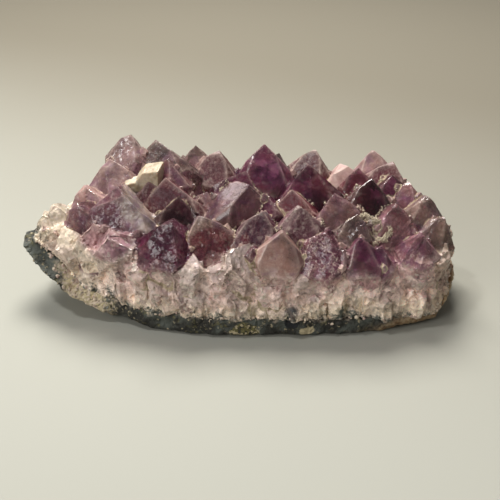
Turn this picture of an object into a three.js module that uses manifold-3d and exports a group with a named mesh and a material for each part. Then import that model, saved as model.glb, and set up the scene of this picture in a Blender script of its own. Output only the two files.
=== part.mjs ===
// A rough amethyst cluster: a broken piece of geode wall that stands on the outside of its own rind.
// Three pieces, from the table up: the grey and tan rind, the druse of quartz that grew on it, whose
// crystals are one solid, and one blocky calcite crystal lodged between the points at the left.
//
// Millimetres, +Z up, +X to the right and -Y towards the viewer of the broken front face. The origin
// is on the table, under the middle of the piece.
import * as THREE from "three";
import { mergeVertices } from "three/addons/utils/BufferGeometryUtils.js";
import Module from "manifold-3d";

const wasm = await Module();
wasm.setup();

// Driving dimensions
const RIND_THICK = 6.4; // thickness of the rind under the left and the middle
const RIND_THIN = 3.8; // and at the right end
const GAP = 0.3; // between the rind and the quartz, and round the calcite
const SINK = 0.6; // how much of the rind's rough underside is levelled by the table
const CROWN = 30; // height of the quartz between the heads
const FACE_SLOPE = THREE.MathUtils.degToRad(38.2); // between a head's faces and its axis, as on all quartz
const SEED = 20;

// The rock seen from above, anticlockwise from the right end: [x, y]
const OUTLINE = [
  [75, -2],
  [72, 14],
  [63, 27],
  [45, 34],
  [20, 36],
  [-8, 37],
  [-34, 36],
  [-53, 28],
  [-67, 13],
  [-75.5, -3],
  [-70, -14],
  [-57, -22],
  [-41, -24.5],
  [-26, -30],
  [-8, -33.3],
  [14, -33],
  [36, -32],
  [54, -28.5],
  [66.5, -23.5],
  [73, -13],
];

// The stone's section from the middle of the underside to the middle of the top: [share of the way out
// to the outline, share of the way up]
const PROFILE = [
  [0, 0],
  [0.35, 0],
  [0.65, 0],
  [0.86, 0],
  [0.96, 0.012],
  [0.995, 0.05],
  [1, 0.16],
  [0.985, 0.3],
  [0.965, 0.5],
  [0.95, 0.72],
  [0.9, 0.9],
  [0.78, 0.98],
  [0.5, 1],
  [0, 1],
];

// Three points of the flank that slopes down from the crest at the left to the front
const FLANK = [
  [-73, -7, 21],
  [-41, -25, 7],
  [-46, -12, 38],
];

// The heads that stand out, from the back row to the front: where each tip is, how wide the crystal is
// across its corners, how far it leans to the right and away from the viewer in degrees, and its turn
// about its own axis. flat is how much of the second set of three faces is missing: 0 is an even
// six-sided point, 0.4 a point with three faces. snap is how much of the tip is broken off.
const HEADS = [
  { name: "left back peak", tip: [-39, 22, 50], across: 20, lean: [4, 8], turn: 10, flat: 0.2, snap: 0.8 },
  { name: "left shoulder", tip: [-46, 13, 43.5], across: 30, lean: [-10, 4], turn: 34, flat: 0.3, snap: 1.6 },
  { name: "grey peak", tip: [-30, 20, 48.5], across: 28, lean: [-13, 4], turn: 22, flat: 0.3, snap: 0.6 },
  { name: "small left point", tip: [-25, 11, 45.5], across: 18, lean: [-4, 4], turn: 0, flat: 0.1 },
  { name: "pale back point", tip: [-16, 27, 44], across: 20, lean: [-4, 0], turn: 30, flat: 0.2 },
  { name: "dark twin", tip: [-7.5, 22, 43.5], across: 20, lean: [6, -4], turn: 12, flat: 0.3, snap: 0.8 },
  { name: "tall middle point", tip: [9, 22, 46.5], across: 29, lean: [2, 2], turn: 33, flat: 0.2 },
  { name: "grey point behind", tip: [14.5, 27, 41], across: 18, lean: [10, 0], turn: 12, flat: 0.2 },
  { name: "right back peak", tip: [27.5, 25, 43], across: 24, lean: [8, 2], turn: 5, flat: 0.2, snap: 0.4 },
  { name: "dark triangle", tip: [24, 8, 44.5], across: 27, lean: [-3, -3], turn: 30, flat: 0.35 },
  { name: "low back point", tip: [37, 21, 38.5], across: 18, lean: [0, 6], turn: 50, flat: 0.3, snap: 1.4 },
  { name: "pale right peak", tip: [48, 22, 44], across: 24, lean: [-3, 2], turn: 28, flat: 0.15, snap: 0.4 },
  { name: "dark right back point", tip: [42, 12, 41.5], across: 16, lean: [-3, 0], turn: 18, flat: 0.3 },
  { name: "chisel right back", tip: [54, 13, 43], across: 21, lean: [8, -3], turn: 8, flat: 0.35, snap: 0.8 },
  { name: "dark right edge point", tip: [53, 6, 41.5], across: 18, lean: [4, -6], turn: 44, flat: 0.3 },
  { name: "dark right point", tip: [45, -2, 43.5], across: 21, lean: [8, -2], turn: 30, flat: 0.3 },
  { name: "pale right dome", tip: [58.5, 4, 39.3], across: 21, lean: [4, 0], turn: 15, flat: 0.1, snap: 0.8 },
  { name: "right end upper", tip: [64, -4, 37.5], across: 24, lean: [10, -4], turn: 38, flat: 0.15, snap: 1 },
  { name: "right end lower", tip: [69, -10, 33], across: 18, lean: [20, -8], turn: 10, flat: 0.1, snap: 0.6 },
  { name: "dark ridge left", tip: [-25, 1, 42.5], across: 33, lean: [-8, -4], turn: 27, flat: 0.35 },
  { name: "dark ridge end", tip: [-31, 3, 40.6], across: 25, lean: [-8, -4], turn: 30, flat: 0.35 },
  { name: "dark wedge", tip: [-20, -8, 39.6], across: 20, lean: [3, -8], turn: 32, flat: 0.35 },
  { name: "mauve slope", tip: [-11, 4, 36], across: 19, lean: [12, -2], turn: 8, flat: 0.4 },
  { name: "silver face", tip: [3.5, -5.5, 43], across: 29, lean: [14, -14], turn: 57, flat: 0.35 },
  { name: "dark band behind silver", tip: [2.5, 8, 42], across: 23, lean: [14, 2], turn: 12, flat: 0.4 },
  { name: "flat topped dark", tip: [9, -3, 38], across: 19, lean: [-4, 8], turn: 0, flat: 0.4, snap: 1 },
  { name: "dark plum point", tip: [18, -3, 40], across: 19, lean: [-8, -2], turn: 20, flat: 0.35 },
  { name: "sparkling point", tip: [32, -8, 41], across: 24, lean: [-6, 4], turn: 42, flat: 0.4 },
  { name: "brown textured point", tip: [39, -17, 37.5], across: 17, lean: [8, 4], turn: 24, flat: 0.3 },
  { name: "pit point", tip: [44.5, -14, 34], across: 12, lean: [0, 0], turn: 12, flat: 0.2, snap: 1.2 },
  { name: "broken giant", tip: [-41, -8, 41], across: 44, lean: [-4, -12], turn: 22, flat: 0.3, snap: 2.2 },
  { name: "ink point", tip: [-22, -24, 38], across: 24, lean: [4, -14], turn: 10, flat: 0.2, snap: 0.8 },
  { name: "grey topped front", tip: [-13, -19, 38], across: 24, lean: [-12, -6], turn: 50, flat: 0.35 },
  { name: "spotted point", tip: [8, -18, 39], across: 24, lean: [6, -10], turn: 14, flat: 0.25 },
  { name: "crusted point", tip: [19.5, -17, 40], across: 22, lean: [-2, -8], turn: 36, flat: 0.2, snap: 0.6 },
  { name: "rose front point", tip: [14, -27, 36], across: 22, lean: [4, -16], turn: 28, flat: 0.3 },
  { name: "cracked front", tip: [28, -26, 35.5], across: 23, lean: [2, -12], turn: 5, flat: 0.2, snap: 0.6 },
  { name: "deep violet point", tip: [39, -27, 34], across: 19, lean: [-6, -10], turn: 32, flat: 0.15 },
  { name: "violet front point", tip: [46, -27, 31], across: 15, lean: [6, -12], turn: 12, flat: 0.2 },
  { name: "mottled right", tip: [52, -13, 39], across: 27, lean: [4, -8], turn: 40, flat: 0.2, snap: 0.5 },
  { name: "crusted right", tip: [59.5, -23, 33], across: 17, lean: [6, -14], turn: 20, flat: 0.1, snap: 0.8 },
  { name: "slab at the left", tip: [-54, 3, 38], across: 22, lean: [-24, 2], turn: 15, flat: 0.35, snap: 1 },
  { name: "pale step", tip: [-64, -3, 33.5], across: 17, lean: [-26, -8], turn: 35, flat: 0.2, snap: 1.4 },
  { name: "pale nose", tip: [-69, -2, 29.5], across: 14, lean: [-30, -6], turn: 22, flat: 0.3, snap: 1.6 },
  { name: "violet step", tip: [-54.5, -9, 37], across: 17, lean: [-18, -16], turn: 5, flat: 0.25, snap: 0.8 },
];

// Broken columns along the front, whose feet stand on the rind: where the top is, width across, lean
const COLUMNS = [
  { top: [-67, -9, 25], across: 13, lean: [-22, -14], turn: 12 },
  { top: [-58, -16, 28], across: 15, lean: [-16, -20], turn: 44 },
  { top: [-49, -18, 30], across: 17, lean: [-10, -18], turn: 22 },
  { top: [-41, -21, 31], across: 16, lean: [-4, -12], turn: 50 },
  { top: [-32, -24, 26], across: 15, lean: [-2, -10], turn: 5 },
  { top: [-25, -27, 22], across: 13, lean: [0, -8], turn: 28 },
  { top: [-16, -28, 27], across: 16, lean: [2, -8], turn: 14 },
  { top: [-6, -28.5, 22], across: 13, lean: [-3, -8], turn: 36 },
  { top: [2, -28.5, 30], across: 15, lean: [2, -8], turn: 6 },
  { top: [11, -29, 21], across: 14, lean: [2, -8], turn: 22 },
  { top: [21, -28, 25], across: 15, lean: [0, -8], turn: 40 },
  { top: [32, -28, 21], across: 14, lean: [2, -8], turn: 16 },
  { top: [41, -27, 19], across: 13, lean: [-2, -8], turn: 54 },
  { top: [50, -25, 22], across: 15, lean: [2, -8], turn: 30 },
  { top: [60, -22, 25], across: 16, lean: [8, -8], turn: 8 },
  { top: [67, -15, 26], across: 15, lean: [14, -6], turn: 34 },
];

// The calcite: the block and the low tail that runs down to its left
const CALCITE = [
  { centre: [-31.5, 6.5, 39.5], size: [10, 7, 8], turn: [6, -16, -14] },
  { centre: [-39, 6, 37], size: [11, 5, 3.6], turn: [6, -12, 4] },
];

// A repeatable stream of numbers from 0 to 1, so that every build gives the same stone.
function dice(seed) {
  let state = seed;
  return () => {
    state = (state + 0x6d2b79f5) | 0;
    let t = Math.imul(state ^ (state >>> 15), 1 | state);
    t = (t + Math.imul(t ^ (t >>> 7), 61 | t)) ^ t;
    return ((t ^ (t >>> 14)) >>> 0) / 4294967296;
  };
}

// Smooth lumps from -1 to 1: three crossed waves whose peaks never line up.
function lumps(x, y, z, size) {
  const [a, b, c] = [x / size, y / size, z / size];
  const one = Math.sin(a * 1.7 + 2.1 * Math.sin(b * 0.9 + 0.4) + c);
  const two = Math.sin(b * 1.9 + 1.6 * Math.sin(c * 1.2 + 1.1) - a * 0.6);
  const three = Math.sin(c * 2.3 + 1.8 * Math.sin(a * 1.1 + 2.7) + b * 0.5);
  return (one + two + three) / 3;
}

// The outline as a distance from the middle for each heading.
function outlineReach() {
  const curve = new THREE.CatmullRomCurve3(
    OUTLINE.map(([x, y]) => new THREE.Vector3(x, y, 0)),
    true,
    "catmullrom",
    0.5,
  );
  const around = curve
    .getPoints(400)
    .slice(0, -1)
    .map((p) => [Math.atan2(p.y, p.x), Math.hypot(p.x, p.y)])
    .sort((a, b) => a[0] - b[0]);
  return (heading) => {
    const next = around.findIndex(([angle]) => angle > heading);
    const [b, a] = next <= 0 ? [around[0], around.at(-1)] : [around[next], around[next - 1]];
    const wide = (b[0] - a[0] + 2 * Math.PI) % (2 * Math.PI);
    const along = ((heading - a[0] + 2 * Math.PI) % (2 * Math.PI)) / wide;
    return a[1] + (b[1] - a[1]) * along;
  };
}
const reach = outlineReach();

// Height of the rind's underside: level under the middle, rising to the overhanging nose at the left,
// a little at the front, more at the back, and steeply at the right end, which the rind wraps.
function underside(x, y) {
  const nose = Math.max(0, -x - 22);
  const rim = Math.hypot(x, y) / reach(Math.atan2(y, x));
  const curl = Math.max(0, rim - 0.78);
  const back = THREE.MathUtils.smoothstep(y, 0, 20);
  const right = THREE.MathUtils.smoothstep(x, 65, 77);
  return -SINK + 0.0076 * nose * nose + (16 + 74 * back + 260 * right) * curl * curl;
}

// Thickness of the rind: thick at the nose and under the middle, thin where the pale quartz comes down
// to the edge at the left, and a thin skin at the right end.
function rindThickness(x) {
  const worn = Math.exp(-(((x + 52) / 8) ** 2));
  const skin = THREE.MathUtils.smoothstep(x, 34, 56);
  return RIND_THICK + (RIND_THIN - RIND_THICK) * Math.min(1, skin + 1.3 * worn);
}

// Height of the quartz between the heads: higher at the back left, lower round the rim and the nose.
function crown(x, y) {
  const left = THREE.MathUtils.smoothstep(-x, 18, 48);
  const nose = THREE.MathUtils.smoothstep(-x, 48, 78);
  const front = THREE.MathUtils.smoothstep(-y, 5, 34);
  return CROWN + 4 * left - 9 * nose - 4 * front - 3 * THREE.MathUtils.smoothstep(x, 40, 76);
}

// A three.js geometry whose faces share their corners, so that it stays closed when they move.
function welded(geometry) {
  const bare = geometry.clone();
  bare.deleteAttribute("normal");
  bare.deleteAttribute("uv");
  return mergeVertices(bare, 1e-4);
}

// A closed three.js geometry as a manifold solid.
function solid(geometry) {
  const merged = welded(geometry);
  return new wasm.Manifold(
    new wasm.Mesh({
      numProp: 3,
      vertProperties: new Float32Array(merged.attributes.position.array),
      triVerts: new Uint32Array(merged.index.array),
    }),
  );
}

// A manifold solid as a three.js geometry.
function geometryOf(made) {
  const { vertProperties, triVerts } = made.getMesh();
  const geometry = new THREE.BufferGeometry();
  geometry.setAttribute("position", new THREE.BufferAttribute(vertProperties, 3));
  geometry.setIndex(new THREE.BufferAttribute(triVerts, 1));
  return geometry;
}

// The stone without its heads: a block on the outline with an upright wall, rough all round, and with
// one sloping flank at the left.
function block() {
  const profile = PROFILE.map(([out, rise]) => new THREE.Vector2(out, rise));
  const turned = welded(new THREE.LatheGeometry(profile, 56).rotateX(Math.PI / 2));
  const flank = new THREE.Plane().setFromCoplanarPoints(...FLANK.map((p) => new THREE.Vector3(...p)));
  const at = turned.attributes.position;
  for (let i = 0; i < at.count; i++) {
    const [bx, by, rise] = [at.getX(i), at.getY(i), at.getZ(i)];
    const share = Math.hypot(bx, by);
    const heading = share < 1e-6 ? 0 : Math.atan2(by, bx);
    const out = share * reach(heading);
    const [x, y] = [out * Math.cos(heading), out * Math.sin(heading)];
    const [low, high] = [underside(x, y), crown(x, y)];
    const z = low + rise * (high - low);
    const rough = 1 + (0.016 * lumps(x, y, z, 6) + 0.012 * lumps(y, z, x, 2.6)) * share;
    const point = new THREE.Vector3(x * rough, y * rough, z + 0.7 * lumps(x, y, 3, 5));
    const proud = flank.distanceToPoint(point);
    if (proud > 0 && rise > 0.1) point.addScaledVector(flank.normal, 0.9 * lumps(x, z, y, 4) - proud);
    at.setXYZ(i, point.x, point.y, point.z);
  }
  return solid(turned);
}

// Everything above the top of the rind, raised by lift: a box whose underside is a curved sheet.
function aboveRind(lift) {
  const [wide, deep, tall] = [170, 90, 160];
  const box = welded(new THREE.BoxGeometry(wide, deep, tall, 34, 18, 1));
  const at = box.attributes.position;
  for (let i = 0; i < at.count; i++) {
    if (at.getZ(i) > 0) continue;
    const [x, y] = [at.getX(i), at.getY(i)];
    const heading = Math.atan2(y, x);
    const inside = Math.min(1, reach(heading) / Math.max(1e-6, Math.hypot(x, y)));
    const wave = 1.1 * lumps(x, y, 0, 9);
    at.setZ(i, underside(x * inside, y * inside) + SINK + rindThickness(x) + wave + lift);
  }
  return solid(box);
}

// A quartz crystal with its tip at the origin and its axis down -Z: a six-sided prism that narrows to
// its root, under three faces that meet in the tip and three that stop short of it. A snapped tip ends
// in a small slanting break.
function crystal({ across, length, root = 0.6, flat = 0.2, snap = 0 }) {
  const radius = across / 2;
  const prism = new THREE.CylinderGeometry(radius, radius * root, length, 6);
  prism.rotateX(Math.PI / 2);
  prism.translate(0, 0, -length / 2);
  let made = solid(prism);
  for (let k = 0; k < 6; k++) {
    const heading = THREE.MathUtils.degToRad(60 * k);
    const [level, rise] = [Math.cos(FACE_SLOPE), Math.sin(FACE_SLOPE)];
    const inward = [-level * Math.cos(heading), -level * Math.sin(heading), -rise];
    made = made.trimByPlane(inward, k % 2 ? -flat * radius * 0.6 : 0);
  }
  return snap > 0 ? made.trimByPlane([0.35, 0.2, -0.92], snap) : made;
}

// Leans a crystal, turns it about its axis and puts its tip in place.
function stand(made, [x, y, z], [right, away], turn) {
  const radians = THREE.MathUtils.degToRad;
  const place = new THREE.Matrix4().makeTranslation(x, y, z);
  place.multiply(new THREE.Matrix4().makeRotationY(radians(right)));
  place.multiply(new THREE.Matrix4().makeRotationX(radians(-away)));
  place.multiply(new THREE.Matrix4().makeRotationZ(radians(turn)));
  return made.transform(place.elements);
}

function heads() {
  return HEADS.map(({ tip: [x, y, z], across, lean, turn, flat, snap = 0 }) =>
    stand(crystal({ across, length: across + 9, root: 0.97, flat, snap }), [x, y, z + snap], lean, turn),
  );
}

// Broken columns: crystals whose top is snapped off by a slanting plane.
function columns() {
  const roll = dice(SEED);
  return COLUMNS.map(({ top, across, lean, turn }) => {
    const [x, y, z] = top;
    const foot = underside(x, y) + SINK + rindThickness(x);
    const snapped = crystal({ across, length: z - foot + across * 0.55, root: 0.86, flat: 0.4 })
      .trimByPlane([0.5 - roll(), 0.7 * roll() + 0.1, -0.8], across * (0.16 + 0.1 * roll()));
    return stand(snapped, [x, y, z + across * 0.2], lean, turn);
  });
}

// Low broken columns between the tall ones, which cover the wall down to the rind.
function stubs() {
  const roll = dice(SEED + 3);
  const grown = [];
  const count = 20;
  for (let i = 0; i < count; i++) {
    const heading = THREE.MathUtils.degToRad(-150 + (130 * (i + 0.6 * roll())) / count);
    const across = 8 + 4 * roll();
    const out = reach(heading) - across * 0.32;
    const [x, y] = [out * Math.cos(heading), out * Math.sin(heading)];
    const foot = underside(x, y) + SINK + rindThickness(x);
    const z = foot + 5 + 8 * roll();
    const snapped = crystal({ across, length: z - foot + across * 0.5, root: 0.9, flat: 0.4 })
      .trimByPlane([0.5 - roll(), 0.6 * roll(), -0.8], across * 0.25);
    grown.push(stand(snapped, [x, y, z + across * 0.2], [14 * (roll() - 0.5), -8 * roll()], 60 * roll()));
  }
  return grown;
}

// Small points that fill the valleys between the heads, and the sides that face away.
function seedlings() {
  const roll = dice(SEED + 1);
  const grown = [];
  const rows = 9;
  const perRow = 6;
  for (let i = 0; i < rows; i++) {
    for (let j = 0; j < perRow; j++) {
      const heading = ((i * perRow + j) / (rows * perRow)) * 2 * Math.PI * perRow;
      const share = Math.sqrt((j + 0.5 + 0.6 * (roll() - 0.5)) / perRow);
      const out = reach(Math.atan2(Math.sin(heading), Math.cos(heading))) * share * 0.93;
      const [x, y] = [out * Math.cos(heading), out * Math.sin(heading)];
      const across = 6 + 5 * roll();
      const lean = [x * 0.12 + 26 * (roll() - 0.5), y * 0.3 + 26 * (roll() - 0.5)];
      const tip = [x, y, crown(x, y) + 2 + 3 * roll() - 7 * Math.max(0, share - 0.85)];
      const point = stand(crystal({ across, length: 12, flat: 0.3 * roll() }), tip, lean, 60 * roll());
      if (x > -24 || y > 8) grown.push(point);
    }
  }
  return grown;
}

// Broken columns round the back and the ends, in turn tall and low.
function farColumns() {
  const roll = dice(SEED + 2);
  const grown = [];
  const count = 24;
  for (let i = 0; i < count; i++) {
    const heading = THREE.MathUtils.degToRad(4 + (172 * i) / (count - 1));
    const out = reach(heading) - 4.6 - 1.6 * roll();
    const [x, y] = [out * Math.cos(heading), out * Math.sin(heading)];
    const foot = underside(x, y) + SINK + rindThickness(x);
    const across = (i % 2 ? 11 : 14) + 4 * roll();
    const top = crown(x, y) + 2.5 * roll() - 5 * THREE.MathUtils.smoothstep(-x, 40, 60);
    const z = i % 2 ? foot + (0.4 + 0.35 * roll()) * (top - foot) : top;
    const lean = [x * 0.04 + 8 * (roll() - 0.5), y * 0.12];
    const point = crystal({ across, length: z - foot + 3, root: 0.95, flat: 0.3 * roll(), snap: 2 * roll() });
    grown.push(stand(point, [x, y, z], lean, 60 * roll()));
  }
  return grown;
}

// The calcite: two leaning rhombs, each with its upper left edge cut off. grow widens them for the pocket
// that holds them.
function calcite(grow) {
  const rhombs = CALCITE.map(({ centre, size: [wide, deep, tall], turn }) => {
    const rhomb = new THREE.BoxGeometry(wide + grow, deep + grow, tall + grow);
    rhomb.applyMatrix4(new THREE.Matrix4().makeShear(0, 0.25, 0.18, 0, 0, 0));
    const [tiltX, tiltY, turnZ] = turn.map(THREE.MathUtils.degToRad);
    const place = new THREE.Matrix4().makeRotationFromEuler(new THREE.Euler(tiltX, tiltY, turnZ));
    place.setPosition(...centre);
    return solid(rhomb)
      .trimByPlane([0.6, 0.1, -0.8], -tall * 0.42 - grow)
      .transform(place.elements);
  });
  return wasm.Manifold.union(rhombs);
}

// The largest of the solids that a cut left.
function largest(made) {
  return made.decompose().sort((a, b) => b.volume() - a.volume())[0];
}

function mesh(name, made, colour, roughness) {
  const material = new THREE.MeshStandardMaterial({ color: colour, roughness, metalness: 0 });
  const shown = new THREE.Mesh(geometryOf(made), material);
  shown.name = name;
  return shown;
}

const stone = block();
const crystals = [...heads(), ...columns(), ...stubs(), ...seedlings(), ...farColumns()];
const rind = largest(stone.subtract(aboveRind(0)).trimByPlane([0, 0, 1], 0));
const grown = wasm.Manifold.union([stone, ...crystals]).intersect(aboveRind(GAP));
const druse = largest(grown.subtract(calcite(2 * GAP)));

// Moves every solid so that the middle of the whole box stands on the origin.
const { min, max } = wasm.Manifold.union([rind, druse]).boundingBox();
const shift = [-(min[0] + max[0]) / 2, -(min[1] + max[1]) / 2, 0];

const amethyst = new THREE.Group();
amethyst.add(mesh("rind", rind.translate(shift), 0x5d5f57, 0.8));
amethyst.add(mesh("amethyst_druse", druse.translate(shift), 0x8a6a94, 0.25));
amethyst.add(mesh("calcite_crystal", calcite(0).translate(shift), 0xcdbd96, 0.5));

export default amethyst;
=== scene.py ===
"""A rough amethyst cluster: violet quartz points over pale columns, on a rind, with a calcite crystal."""

import logging
import math
from dataclasses import dataclass, field
from enum import Enum
from typing import Any

import bmesh
import bpy
import numpy as np
from mathutils import Euler, Matrix, Vector, noise

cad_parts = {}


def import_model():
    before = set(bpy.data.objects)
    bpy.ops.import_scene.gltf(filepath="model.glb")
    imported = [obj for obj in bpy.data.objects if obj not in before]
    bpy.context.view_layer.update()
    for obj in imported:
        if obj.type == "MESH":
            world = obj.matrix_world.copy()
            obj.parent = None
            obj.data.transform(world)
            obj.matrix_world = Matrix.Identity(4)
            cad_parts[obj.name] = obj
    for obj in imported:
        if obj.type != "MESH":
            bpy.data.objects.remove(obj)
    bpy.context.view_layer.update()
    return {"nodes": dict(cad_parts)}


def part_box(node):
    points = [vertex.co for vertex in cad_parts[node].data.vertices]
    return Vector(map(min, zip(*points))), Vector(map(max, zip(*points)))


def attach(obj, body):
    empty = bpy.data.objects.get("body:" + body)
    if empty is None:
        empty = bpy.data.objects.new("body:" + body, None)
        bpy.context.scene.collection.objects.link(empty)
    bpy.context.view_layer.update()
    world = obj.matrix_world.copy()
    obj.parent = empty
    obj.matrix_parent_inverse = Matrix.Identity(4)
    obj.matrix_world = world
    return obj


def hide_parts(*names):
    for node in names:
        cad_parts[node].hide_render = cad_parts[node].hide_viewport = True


LOG = logging.getLogger("amethyst")
MM = 0.001
Vec = tuple[float, float, float]


def linear(red: int, green: int, blue: int) -> Vec:
    """Turn a colour as it is seen on a screen into light amounts.

    Args:
        red: From 0 to 255.
        green: From 0 to 255.
        blue: From 0 to 255.

    Returns:
        The three amounts from 0 to 1.
    """
    shares = (red / 255, green / 255, blue / 255)
    return tuple(c / 12.92 if c <= 0.04045 else ((c + 0.055) / 1.055) ** 2.4 for c in shares)


class Tint(Enum):
    """Colour and milkiness of one growth of quartz."""

    SOOT = (linear(46, 50, 52), 0.9)
    GARNET = (linear(92, 16, 36), 0.18)
    INK = (linear(114, 30, 72), 0.22)
    PLUM = (linear(122, 40, 56), 0.26)
    VIOLET = (linear(132, 66, 94), 0.26)
    LILAC = (linear(142, 94, 106), 0.36)
    MAUVE = (linear(150, 106, 110), 0.36)
    ROSE = (linear(188, 150, 140), 0.5)
    SMOKE = (linear(142, 116, 108), 0.36)
    SILVER = (linear(140, 104, 106), 0.26)
    BLUSH = (linear(190, 154, 148), 0.46)
    PALE = (linear(214, 197, 187), 0.6)
    CREAM = (linear(224, 209, 184), 0.85)

    @property
    def colour(self) -> Vec:
        """Colour of the growth."""
        return self.value[0]

    @property
    def milk(self) -> float:
        """How much of the light is scattered at the surface."""
        return self.value[1]


class Dice:
    """A repeatable stream of numbers from 0 to 1."""

    MASK = 0xFFFFFFFF
    STEP = 0x6D2B79F5
    SPAN = 2**32

    def __init__(self, seed: int) -> None:
        """Start the stream at a seed."""
        self.state = seed

    def __call__(self) -> float:
        """Give the next number.

        Returns:
            A number from 0 to 1.
        """
        self.state = (self.state + self.STEP) & self.MASK
        mixed = ((self.state ^ (self.state >> 15)) * (1 | self.state)) & self.MASK
        mixed = ((mixed + (((mixed ^ (mixed >> 7)) * (61 | mixed)) & self.MASK)) & self.MASK) ^ mixed
        return (mixed ^ (mixed >> 14)) / self.SPAN

    def between(self, low: float, high: float) -> float:
        """Give the next number between two others."""
        return low + (high - low) * self()


def smoothstep(value: Any, low: float, high: float) -> Any:
    """Rise smoothly from 0 at low to 1 at high.

    Args:
        value: A number or an array.
        low: Where the rise starts.
        high: Where it ends.

    Returns:
        The share of the rise, as a number or an array.
    """
    share = np.clip((value - low) / (high - low), 0, 1)
    return share * share * (3 - 2 * share)


def lumps(x: Any, y: Any, z: Any, size: float) -> Any:
    """Give smooth lumps from -1 to 1: three crossed waves whose peaks never line up.

    Args:
        x: Place along the first axis, a number or an array.
        y: Place along the second axis.
        z: Place along the third axis.
        size: Width of a lump.

    Returns:
        The height of the lumps there.
    """
    a, b, c = x / size, y / size, z / size
    one = np.sin(a * 1.7 + 2.1 * np.sin(b * 0.9 + 0.4) + c)
    two = np.sin(b * 1.9 + 1.6 * np.sin(c * 1.2 + 1.1) - a * 0.6)
    three = np.sin(c * 2.3 + 1.8 * np.sin(a * 1.1 + 2.7) + b * 0.5)
    return (one + two + three) / 3


def in_line(places: np.ndarray) -> np.ndarray:
    """Sort places along the axes, because a refined mesh numbers its vertices anew in each run.

    Args:
        places: The places, one row each.

    Returns:
        The numbers of the rows in their lasting order.
    """
    return np.lexsort(places.T)


def vertex_rows(data: bpy.types.Mesh, value: str = "co") -> np.ndarray:
    """Read the place or the normal of every vertex.

    Args:
        data: The mesh.
        value: What is read.

    Returns:
        One row for each vertex.
    """
    read = np.empty(len(data.vertices) * 3)
    data.vertices.foreach_get(value, read)
    return read.reshape(-1, 3)


def store(data: bpy.types.Mesh, name: str, values: np.ndarray, domain: str = "FACE") -> None:
    """Store a number for every face or vertex, for the material to read.

    Args:
        data: The mesh.
        name: What the number is called.
        values: One number for each.
        domain: Whether they are for faces or for vertices.
    """
    data.attributes.new(name, "FLOAT", domain).data.foreach_set("value", values)


def as_object(name: str, bm: bmesh.types.BMesh) -> bpy.types.Object:
    """Turn a mesh under work into an object.

    Args:
        name: The object's name.
        bm: The mesh, which is freed.

    Returns:
        The object, linked to the scene.
    """
    data = bpy.data.meshes.new(name)
    bm.to_mesh(data)
    bm.free()
    made = bpy.data.objects.new(name, data)
    bpy.context.scene.collection.objects.link(made)
    return made


def applied(shape: bpy.types.Object) -> bpy.types.Object:
    """Apply an object's modifiers to its mesh.

    Args:
        shape: The object.

    Returns:
        The same object.
    """
    graph = bpy.context.evaluated_depsgraph_get()
    done = bpy.data.meshes.new_from_object(shape.evaluated_get(graph))
    shape.modifiers.clear()
    shape.data = done
    return shape


def refined(bm: bmesh.types.BMesh, longest: float, rounds: int = 7) -> None:
    """Halve every edge that is too long until none is.

    Args:
        bm: The mesh, which is left in triangles.
        longest: The longest edge that may stay.
        rounds: How many times the edges are halved at most.
    """
    bmesh.ops.triangulate(bm, faces=bm.faces)
    for _ in range(rounds):
        too_long = [edge for edge in bm.edges if edge.calc_length() > longest]
        if not too_long:
            return
        bmesh.ops.subdivide_edges(bm, edges=too_long, cuts=1)
        bmesh.ops.triangulate(bm, faces=bm.faces)


def slice_off(bm: bmesh.types.BMesh, normal: Vector, offset: float) -> None:
    """Cut off what lies beyond a plane, and close the cut.

    Args:
        bm: A closed mesh.
        normal: The plane's outward normal.
        offset: How far along it the plane lies.
    """
    made = bmesh.ops.bisect_plane(bm, geom=bm.verts[:] + bm.edges[:] + bm.faces[:], dist=1e-5,
                                  plane_co=normal * offset, plane_no=normal, clear_outer=True)
    rim = [item for item in made["geom_cut"] if isinstance(item, bmesh.types.BMEdge)]
    if rim:
        bmesh.ops.edgeloop_fill(bm, edges=rim)


def pour(source: bmesh.types.BMesh, target: bmesh.types.BMesh) -> None:
    """Add one mesh under work to another.

    Args:
        source: What is added.
        target: What it is added to.
    """
    part = bpy.data.meshes.new("part")
    source.to_mesh(part)
    target.from_mesh(part)
    bpy.data.meshes.remove(part)


def around(heading: float, out: float) -> tuple[float, float]:
    """Give the place at a heading in radians and a distance from the middle."""
    return out * math.cos(heading), out * math.sin(heading)


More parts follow.
